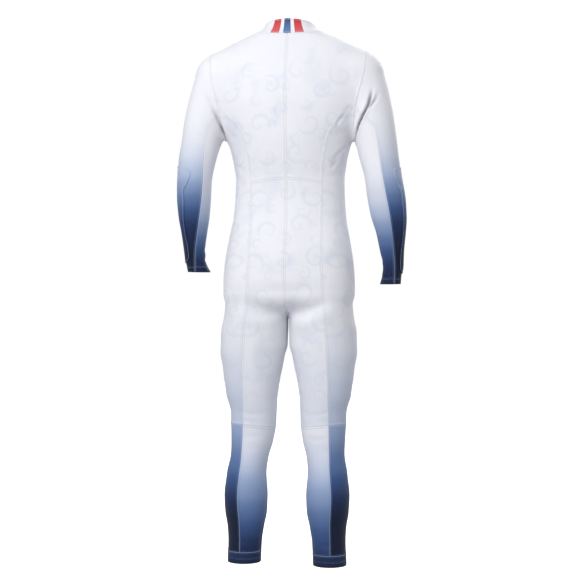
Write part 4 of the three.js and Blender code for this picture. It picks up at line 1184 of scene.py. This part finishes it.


# The dye's shades as screen colours, from the bare cloth to the darkest, and the heights at which each
# panel reaches them. Where the left and right copies of the side panel, the inner sleeve and the calf
# differ, part of the difference is painted shade for how light falls on each side of the suit.
SHADES = {
    "white": (232, 232, 238), "mist": (219, 222, 232), "haze": (198, 205, 222), "sky": (158, 174, 204),
    "thread": (138, 162, 206), "steel": (112, 134, 174), "blue": (72, 98, 144), "navy": (38, 58, 100),
    "ink": (13, 24, 52),
}
FADES = {
    "collar": {"white": 0},
    "body": {"white": -760, "mist": -1075},
    "side_left": {"white": -740, "mist": -860, "haze": -965, "sky": -1290},
    "side_right": {"white": -740, "mist": -850, "haze": -935, "sky": -1180},
    "outer_sleeve": {"white": -205, "mist": -290, "haze": -336, "sky": -386, "steel": -427,
                     "blue": -461, "navy": -502, "ink": -590},
    "inner_sleeve_left": {"white": -300, "mist": -380, "haze": -444, "sky": -498, "steel": -536,
                          "blue": -566, "navy": -600, "ink": -650},
    "inner_sleeve_right": {"white": -345, "mist": -415, "haze": -460, "sky": -502, "steel": -540,
                           "blue": -572, "navy": -610, "ink": -680},
    "calf_left": {"mist": -1072, "haze": -1132, "sky": -1184, "steel": -1246, "blue": -1298,
                  "navy": -1350, "ink": -1430},
    "calf_right": {"white": -1040, "mist": -1085, "haze": -1145, "sky": -1200, "steel": -1262,
                   "blue": -1315, "navy": -1385, "ink": -1470},
    "calf_side": {"sky": -1030, "steel": -1110, "blue": -1172, "navy": -1224, "ink": -1290},
    "hem": {"navy": -1350, "ink": -1440},
}
THREADS = {
    "thread_body": {"white": -1040, "haze": -1110, "steel": -1210, "blue": -1330},
    "thread_sleeve": {"white": -300, "haze": -400, "thread": -480, "steel": -640},
    "thread_hem": {"steel": -1340, "blue": -1440},
    "thread_light": {"mist": -330, "haze": -430, "thread": -500},
}
THREAD_ROUGHNESS = 0.45
# The zip's finishes: name, shade, roughness, how metallic, and the scale and the depth of the grain.
PLAIN = {
    "tape": ("zip_tape_weave", (226, 229, 236), 0.7, 0.0, 1500.0, 0.5),
    "coil": ("zip_teeth_nylon", (204, 208, 216), 0.35, 0.0, 900.0, 0.2),
    "metal": ("zip_metal", (168, 172, 180), 0.3, 1.0, 900.0, 0.2),
}
# The grain of a plain finish: the noise's detail, its darkest tone, its step in the tone and in the
# roughness, how much rougher or smoother it gets, and its height.
PLAIN_FORM = {"detail": 3.0, "dark": 0.75, "tone": (0.35, 0.75, 0.0, 0.5), "rough": (0.2, 0.8),
              "give": 0.08, "high": 0.0001}


def thread_material(name, stops):
    """A thread whose colour follows the height as the cloth's does."""

    def make(tree):
        return {"Base Color": by_height(tree, stops), "Roughness": THREAD_ROUGHNESS}

    return new_material(name, make)


def make_fine_grain():
    """The look of a hard finish: a fine uneven grain in the tone, the roughness and the height."""
    form = PLAIN_FORM
    tree, given, result = group(
        "fine_grain",
        [("Colour", "Color", None), ("Dark", "Color", None), ("Roughness", "Float", 0.5),
         ("Scale", "Float", 900.0), ("Depth", "Float", 0.2)],
        [("Colour", "Color"), ("Roughness", "Float"), ("Normal", "Vector")],
    )
    grain = noise(tree, given["Scale"], form["detail"])
    spread = (maths(tree, way, given["Roughness"], form["give"]) for way in ("SUBTRACT", "ADD"))
    tone = tint(tree, given["Colour"], given["Dark"], soft_step(tree, grain, *form["tone"]))
    bump = node(tree, "Bump", {"Height": grain, "Strength": given["Depth"], "Distance": form["high"]})
    feed(tree, result["Colour"], tone)
    feed(tree, result["Roughness"], soft_step(tree, grain, *form["rough"], *spread))
    feed(tree, result["Normal"], bump["Normal"])
    return tree


FINE_GRAIN = make_fine_grain()


def plain_material(name, shade, roughness, metallic, scale, depth):
    """A hard finish with the fine grain in it."""
    bare = colour(*shade)
    dark = (*(PLAIN_FORM["dark"] * c for c in bare[:3]), 1.0)

    def make(tree):
        given = {"Colour": bare, "Dark": dark, "Roughness": roughness, "Scale": scale, "Depth": depth}
        return {**surface(tree, FINE_GRAIN, given), "Metallic": metallic}

    return new_material(name, make)


def make_looks():
    """Every finish by its name: the cloths, the threads and the zip's."""
    looks = {
        "collar": knit_material("collar_knit", FADES["collar"], extra=stripes),
        "body": knit_material("body_knit", FADES["body"], printed=True),
        "outer_sleeve": knit_material("outer_sleeve_knit", FADES["outer_sleeve"]),
        "guard": knit_material("guard_knit", FADES["outer_sleeve"], roughness=0.46, thread=0.0),
        "calf_side": knit_material("lower_side_knit", FADES["calf_side"]),
        "hem": knit_material("hem_knit", FADES["hem"], roughness=0.6),
    }
    for part in ("side", "inner_sleeve", "calf"):
        for key in (f"{part}_left", f"{part}_right"):
            looks[key] = knit_material(f"{key}_knit", FADES[key], printed=part == "side")
    looks.update((key, thread_material(key, stops)) for key, stops in THREADS.items())
    looks.update((key, plain_material(*row)) for key, row in PLAIN.items())
    return looks


# The suit's pieces

# The least angles round the body's axis that a panel's first and last edges are given.
BEARINGS = {"back": (-60, -90), "side": (-90, -270), "front": (-270, -300)}


def sew_body(side, seams, looks):
    """The pieces of the trunk and the leg, each between its own two seams."""
    label = LABELS[side]
    ribs_back, thigh_back, calf_back, hem_back = seams["back"]
    ribs_front, thigh_front, calf_front, hem_front = seams["front"]
    corner = ribs_back[-1]

    def belt(t):
        return face_at(side, 1, lerp(0, corner[0] * side, t), lerp(WAIST_SEAM["back"], corner[2], t**2))

    waist = evenly(belt, CELLS["shoulder"])
    waist[-1] = corner

    def shape(kind, first, last, columns, **edges):
        return panel(side, first, last, columns, BEARINGS[kind], **edges)

    wide, narrow = CELLS["shoulder"], CELLS["side"]
    back = shape("back", join(seams["nape"], seams["spine"]), join(seams["armhole_back"], ribs_back),
                 wide, top=seams["shoulder"], bottom=waist)
    seat = shape("back", join(seams["seat"], seams["inseam"]), thigh_back, wide, top=waist)
    flank = shape("side", join(ribs_back, thigh_back), join(ribs_front, thigh_front), narrow,
                  top=seams["underarm"])
    front = shape("front", join(seams["armhole_front"], ribs_front, thigh_front),
                  join(seams["throat"], seams["zip"], seams["inseam"]), wide, top=seams["shoulder"][::-1])
    cut = [("back", back, "body_knit", looks["body"]), ("seat", seat, "body_knit", looks["body"]),
           ("side", flank, "side_knit", looks[f"side_{label}"]), ("front", front, "body_knit", looks["body"])]
    calf = looks[f"calf_{label}"]
    calves = [("back", seams["calf"], calf_back, wide, seat, "lower_leg_knit", calf),
              ("side", calf_back, calf_front, narrow, flank, "lower_side_knit", looks["calf_side"]),
              ("front", calf_front, seams["calf"], wide, front, "lower_leg_knit", calf)]
    edges = [(seams["hem"], hem_back), (hem_back, hem_front), (hem_front, seams["hem"])]
    rings = []
    for (kind, first, last, columns, above, slot, look), (left, right) in zip(calves, edges):
        grid = shape(kind, first, last, columns, top=above[-1])
        cut.append((f"calf_{kind}", grid, slot, look))
        rings.append(shape(kind, left, right, columns, top=grid[-1]))
    for kind, grid, slot, look in cut:
        cloth(f"{kind}_{label}", side, regrid(side, grid), slot, look, "body")
    ring = np.concatenate([rings[0], rings[1][:, 1:], rings[2][:, 1:]], axis=1)[:, ::2]
    cloth(f"hem_{label}", side, regrid(side, ring, ring=True), "hem_band", looks["hem"], "hem",
          sewn=("top",), turned=("bottom",), ring=True, proud=HEM["proud"])


# The pad on a forearm: half its width as a share of the sleeve's panel, by the share of its length.
GUARD = Table("half", [
    (0.376, 0.24), (0.381, 0.30), (0.39, 0.33), (0.405, 0.34), (0.43, 0.325), (0.46, 0.295), (0.50, 0.25),
    (0.55, 0.262), (0.65, 0.27), (0.75, 0.295), (0.84, 0.365), (0.90, 0.385), (0.925, 0.33), (0.94, 0.2),
])
# Shares of the sleeve's length where the pad and the fans of stitches at its elbow start and end, how far
# it stands off the sleeve at its edge and within, how wide the slope between them is, the share of the
# pad where its edge stitches start, and how far in from its edge each fan line starts and all end.
GUARD_FORM = {"top": 0.376, "bottom": 0.940, "columns": 40, "rows": 110, "foot": 0.9, "proud": 1.7,
              "slope": 3.2, "elbow": 0.22, "fan": (0.04, 0.08, 0.13), "fan_foot": 0.008,
              "fan_rows": (0.46, 0.492), "fan_points": 12}


def read_grid(grid, rows, columns):
    """Points of a grid at shares of its rows and columns, straight between its points both ways."""
    y, x = rows * (grid.shape[0] - 1), columns * (grid.shape[1] - 1)
    j, i = np.minimum(y.astype(int), grid.shape[0] - 2), np.minimum(x.astype(int), grid.shape[1] - 2)
    v, u = (y - j)[..., None], (x - i)[..., None]
    return lerp(lerp(grid[j, i], grid[j, i + 1], u), lerp(grid[j + 1, i], grid[j + 1, i + 1], u), v)


def sew_sleeve(side, seams, looks):
    """The two pieces of a sleeve and the pad on its forearm, whose edge slopes down to the sleeve."""
    label = LABELS[side]
    head = join(seams["armhole_back"][::-1], seams["armhole_front"])
    outer = sleeve_panel(side, seams["sleeve_back"], seams["sleeve_front"], head, False)
    inner = sleeve_panel(side, seams["sleeve_back"], seams["sleeve_front"], seams["underarm"], True)
    pieces = (("outer", outer, looks["outer_sleeve"]), ("inner", inner, looks[f"inner_sleeve_{label}"]))
    for part, grid, look in pieces:
        cloth(f"sleeve_{part}_{label}", side, regrid(side, grid), f"{part}_sleeve_knit", look, "sleeve",
              sewn=("left", "right", "top"), turned=("bottom",))
    form = GUARD_FORM
    rows = np.linspace(form["top"], form["bottom"], form["rows"] + 1)[:, None]
    across = np.linspace(-1, 1, form["columns"] + 1)
    pad = regrid(side, read_grid(outer, rows + 0 * across, 0.5 + GUARD(rows)["half"] * across))
    rim = np.min(list(edge_distances(pad).values()), axis=0)
    proud = lerp(form["foot"], form["proud"], ease(rim, 0, form["slope"]))
    laid = cloth(f"forearm_guard_{label}", side, pad, "guard_knit", looks["guard"], "guard", proud=proud)
    # The pad's own lines take the place of the stitches along its four edges.
    del STITCH_LINES["guard"][-4:]
    near, far = SEAM["needle"], -1 - SEAM["needle"]
    below = slice(int(form["elbow"] * len(pad)), far)
    for part in ((below, near), (below, far), (far, slice(near, far))):
        STITCH_LINES["guard"].append(tuple(grid[part] for grid in laid))
    rows = np.linspace(*form["fan_rows"], form["fan_points"])
    for spread in form["fan"]:
        away = lerp(spread, form["fan_foot"], np.linspace(0, 1, form["fan_points"]))
        for way in (-1, 1):
            columns = 0.5 + way * (GUARD(rows)["half"] - away)
            line = read_grid(outer, rows[:, None], columns[:, None])[:, 0]
            up = normals_at(side, line)
            STITCH_LINES["guard"].append((line + up * form["proud"] + at(LEAN(line[:, 2])["x"], 0, 0), up))


def sew_collar(seams, looks):
    """The collar's stand, from the zip's left edge round the nape to its right edge."""
    halves = [collar_half(side, seams[side]) for side in (1, -1)]
    slopes = [slope(side, half) for side, half in zip((1, -1), halves)]
    both = [np.concatenate([left[:, :-1], right[:, ::-1]], axis=1) for left, right in (halves, slopes)]
    both = resample(np.concatenate(both, axis=-1))
    both = resample(both.swapaxes(0, 1)).swapaxes(0, 1)
    cloth("collar", 1, both[..., :3], "collar_knit", looks["collar"], "body", normals=unit(both[..., 3:]))


# The tapes run on behind the fronts: how far out from the middle each line of points is and how far off
# the skin, the tape's thickness, its ends and the length of a row.
TAPE = {"columns": [(1.9, 0), (3.6, 0), (4.9, -0.1), (5.9, -0.9), (6.8, -1.75), (9, -1.9), (13.5, -1.9)],
        "thick": 0.5, "top": -11.5, "bottom": -612, "step": 4.5}
# The closed teeth: the pitch of a side's teeth, the ends of the rows, how far off the middle and off the
# skin each tooth's centre is, and its length, width and height.
TEETH = {"pitch": 1.5, "top": -30, "bottom": -599, "reach": 0.75, "lift": 0.35, "size": (2.5, 0.95, 1.15)}
# The bar tack below the teeth: its middle height, its strands and how they are laid.
TACK = {"z": -604, "rows": 7, "pitch": 1.1, "size": (9.5, 0.8, 0.7), "lift": 0.5}
# The skin's front is read this far off the middle, where both halves meet.
BESIDE_MIDDLE = 0.01


def skin_in_front(x, z):
    """Points and normals of the skin's front near the middle, mirrored for the right side."""
    p = face_at(1, -1, np.abs(x), z)
    mirror = np.where(np.asarray(x) < 0, -1.0, 1.0)[..., None] * [1, 0, 0] + [0, 1, 1]
    return p * mirror, normals_at(1, p) * mirror


def sew_zip(looks):
    """The two tapes, the closed teeth as one mesh for both sides, and the bar tack that ends them."""
    z = np.arange(TAPE["bottom"], TAPE["top"], TAPE["step"])[::-1, None]
    across, offsets = np.array(TAPE["columns"]).T
    for side, label in LABELS.items():
        x = side * across
        points, normals = skin_in_front(x + 0 * z, z + 0 * x)
        outer = points + normals * offsets[:, None]
        away = edge_distances(outer)
        uv = np.stack([away["left"], away["top"]], axis=-1)
        inner = outer - normals * TAPE["thick"]
        tape = shell(f"zip_tape_{label}_cloth", outer, inner, looks["tape"], uv)
        finish_cloth(tape, f"zip_tape_{label}", "zip_tape", outer)
    z = np.arange(TEETH["top"], TEETH["bottom"], -TEETH["pitch"] / 2)
    turn = np.where(np.arange(len(z)) % 2, 1.0, -1.0)
    points, normals = skin_in_front(turn * TEETH["reach"], z)
    places, ways = points + normals * TEETH["lift"], np.cross(normals, [0, 0, 1])
    teeth = strands("zip_teeth", places, ways, normals, TEETH["size"], looks["coil"])
    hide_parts("zip_coil")
    z = TACK["z"] + TACK["pitch"] * (np.arange(TACK["rows"]) - (TACK["rows"] - 1) / 2)
    points, normals = skin_in_front(np.full(len(z), BESIDE_MIDDLE), z)
    points[:, 0] = 0
    places, ways = points + normals * TACK["lift"], np.tile([1.0, 0, 0], (len(z), 1))
    tack = strands("zip_bar_tack", places, ways, normals, TACK["size"], looks["thread_body"])


def dress_hardware(looks):
    """The slider and the pull tab keep their CAD form and get the metal."""
    for name in ("zip_slider", "zip_pull"):
        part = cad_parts[name]
        part.data.materials.clear()
        part.data.materials.append(looks["metal"])


# The place, light and camera

# The floor in millimetres, and how bright it glows towards the camera.
FLOOR = {"z": -1522, "half": 9000, "shade": (200, 201, 204), "roughness": 0.9, "shine": 0.1, "glow": 1.0}
WHITE = (1.0, 1.0, 1.0, 1.0)
# How bright the sky is as light and as the camera sees it.
SKY = {"colour": (0.985, 0.99, 1.0, 1.0), "light": 0.56, "seen": 1.02}
# Round lights in metres and watts: place, size and power. All aim at one place on the suit.
LIGHTS = [("key", (1.1, 3.2, 1.4), 2.4, 96), ("fill", (-1.4, -3.2, 1.6), 3.0, 80)]
LIGHT_AIM = (0, 0, -0.6)
# The camera in metres and degrees: across is how much width it sees at the suit's axis. Its sensor is in
# millimetres.
CAMERA = {"azimuth": 187.3, "distance": 3.8, "height": -0.69255, "aside": 0.00756, "across": 1.5795,
          "sensor": 36}


def place_in_scene(name, data, place, way):
    """An object at a place in metres that looks along a way."""
    made = bpy.data.objects.new(name, data)
    made.location = place
    made.rotation_euler = Vector(way).to_track_quat("-Z", "Y").to_euler()
    bpy.context.scene.collection.objects.link(made)
    return made


def stage_and_light():
    """A wide pale floor below the hems, a pale sky, and soft lights from above on both faces."""

    def make(tree):
        seen = node(tree, "LightPath")["Is Camera Ray"]
        return {"Base Color": colour(*FLOOR["shade"]), "Roughness": FLOOR["roughness"],
                "Specular IOR Level": FLOOR["shine"], "Emission Color": WHITE,
                "Emission Strength": maths(tree, "MULTIPLY", seen, FLOOR["glow"])}

    far = FLOOR["half"]
    corners = np.array([(x, y, FLOOR["z"]) for x, y in ((-far, -far), (far, -far), (far, far), (-far, far))])
    add_mesh("floor", corners, np.arange(4), np.array([4]), new_material("floor", make))
    world = bpy.data.worlds.new("studio")
    world.use_nodes = True
    tree = world.node_tree
    sky = tree.nodes["Background"].inputs
    feed(tree, sky["Color"], SKY["colour"])
    seen = node(tree, "LightPath")["Is Camera Ray"]
    feed(tree, sky["Strength"], soft_step(tree, seen, 0.0, 1.0, SKY["light"], SKY["seen"]))
    bpy.context.scene.world = world
    bpy.context.scene.view_settings.view_transform = "Standard"
    for name, place, size, power in LIGHTS:
        lamp = bpy.data.lights.new(name, "AREA")
        lamp.shape, lamp.size, lamp.energy = "DISK", size, power
        place_in_scene(name, lamp, place, np.subtract(LIGHT_AIM, place))


def set_camera():
    """The camera at the photograph's place: level, behind the suit and a little to its right."""
    turn = math.radians(CAMERA["azimuth"])
    behind = Vector((math.sin(turn), -math.cos(turn), 0))
    right = Vector((math.cos(turn), math.sin(turn), 0))
    lens = bpy.data.cameras.new("camera")
    lens.sensor_width = CAMERA["sensor"]
    lens.lens = CAMERA["sensor"] * CAMERA["distance"] / CAMERA["across"]
    place = behind * CAMERA["distance"] + right * CAMERA["aside"]
    place.z = CAMERA["height"]
    bpy.context.scene.camera = place_in_scene("camera", lens, place, -behind)


looks = make_looks()
seams = {side: seams_of(side) for side in LABELS}
for side in LABELS:
    sew_body(side, seams[side], looks)
    sew_sleeve(side, seams[side], looks)
sew_collar(seams, looks)
sew_zip(looks)
dress_hardware(looks)
for kind in SEWING:
    sew(kind, looks)
stage_and_light()
set_camera()
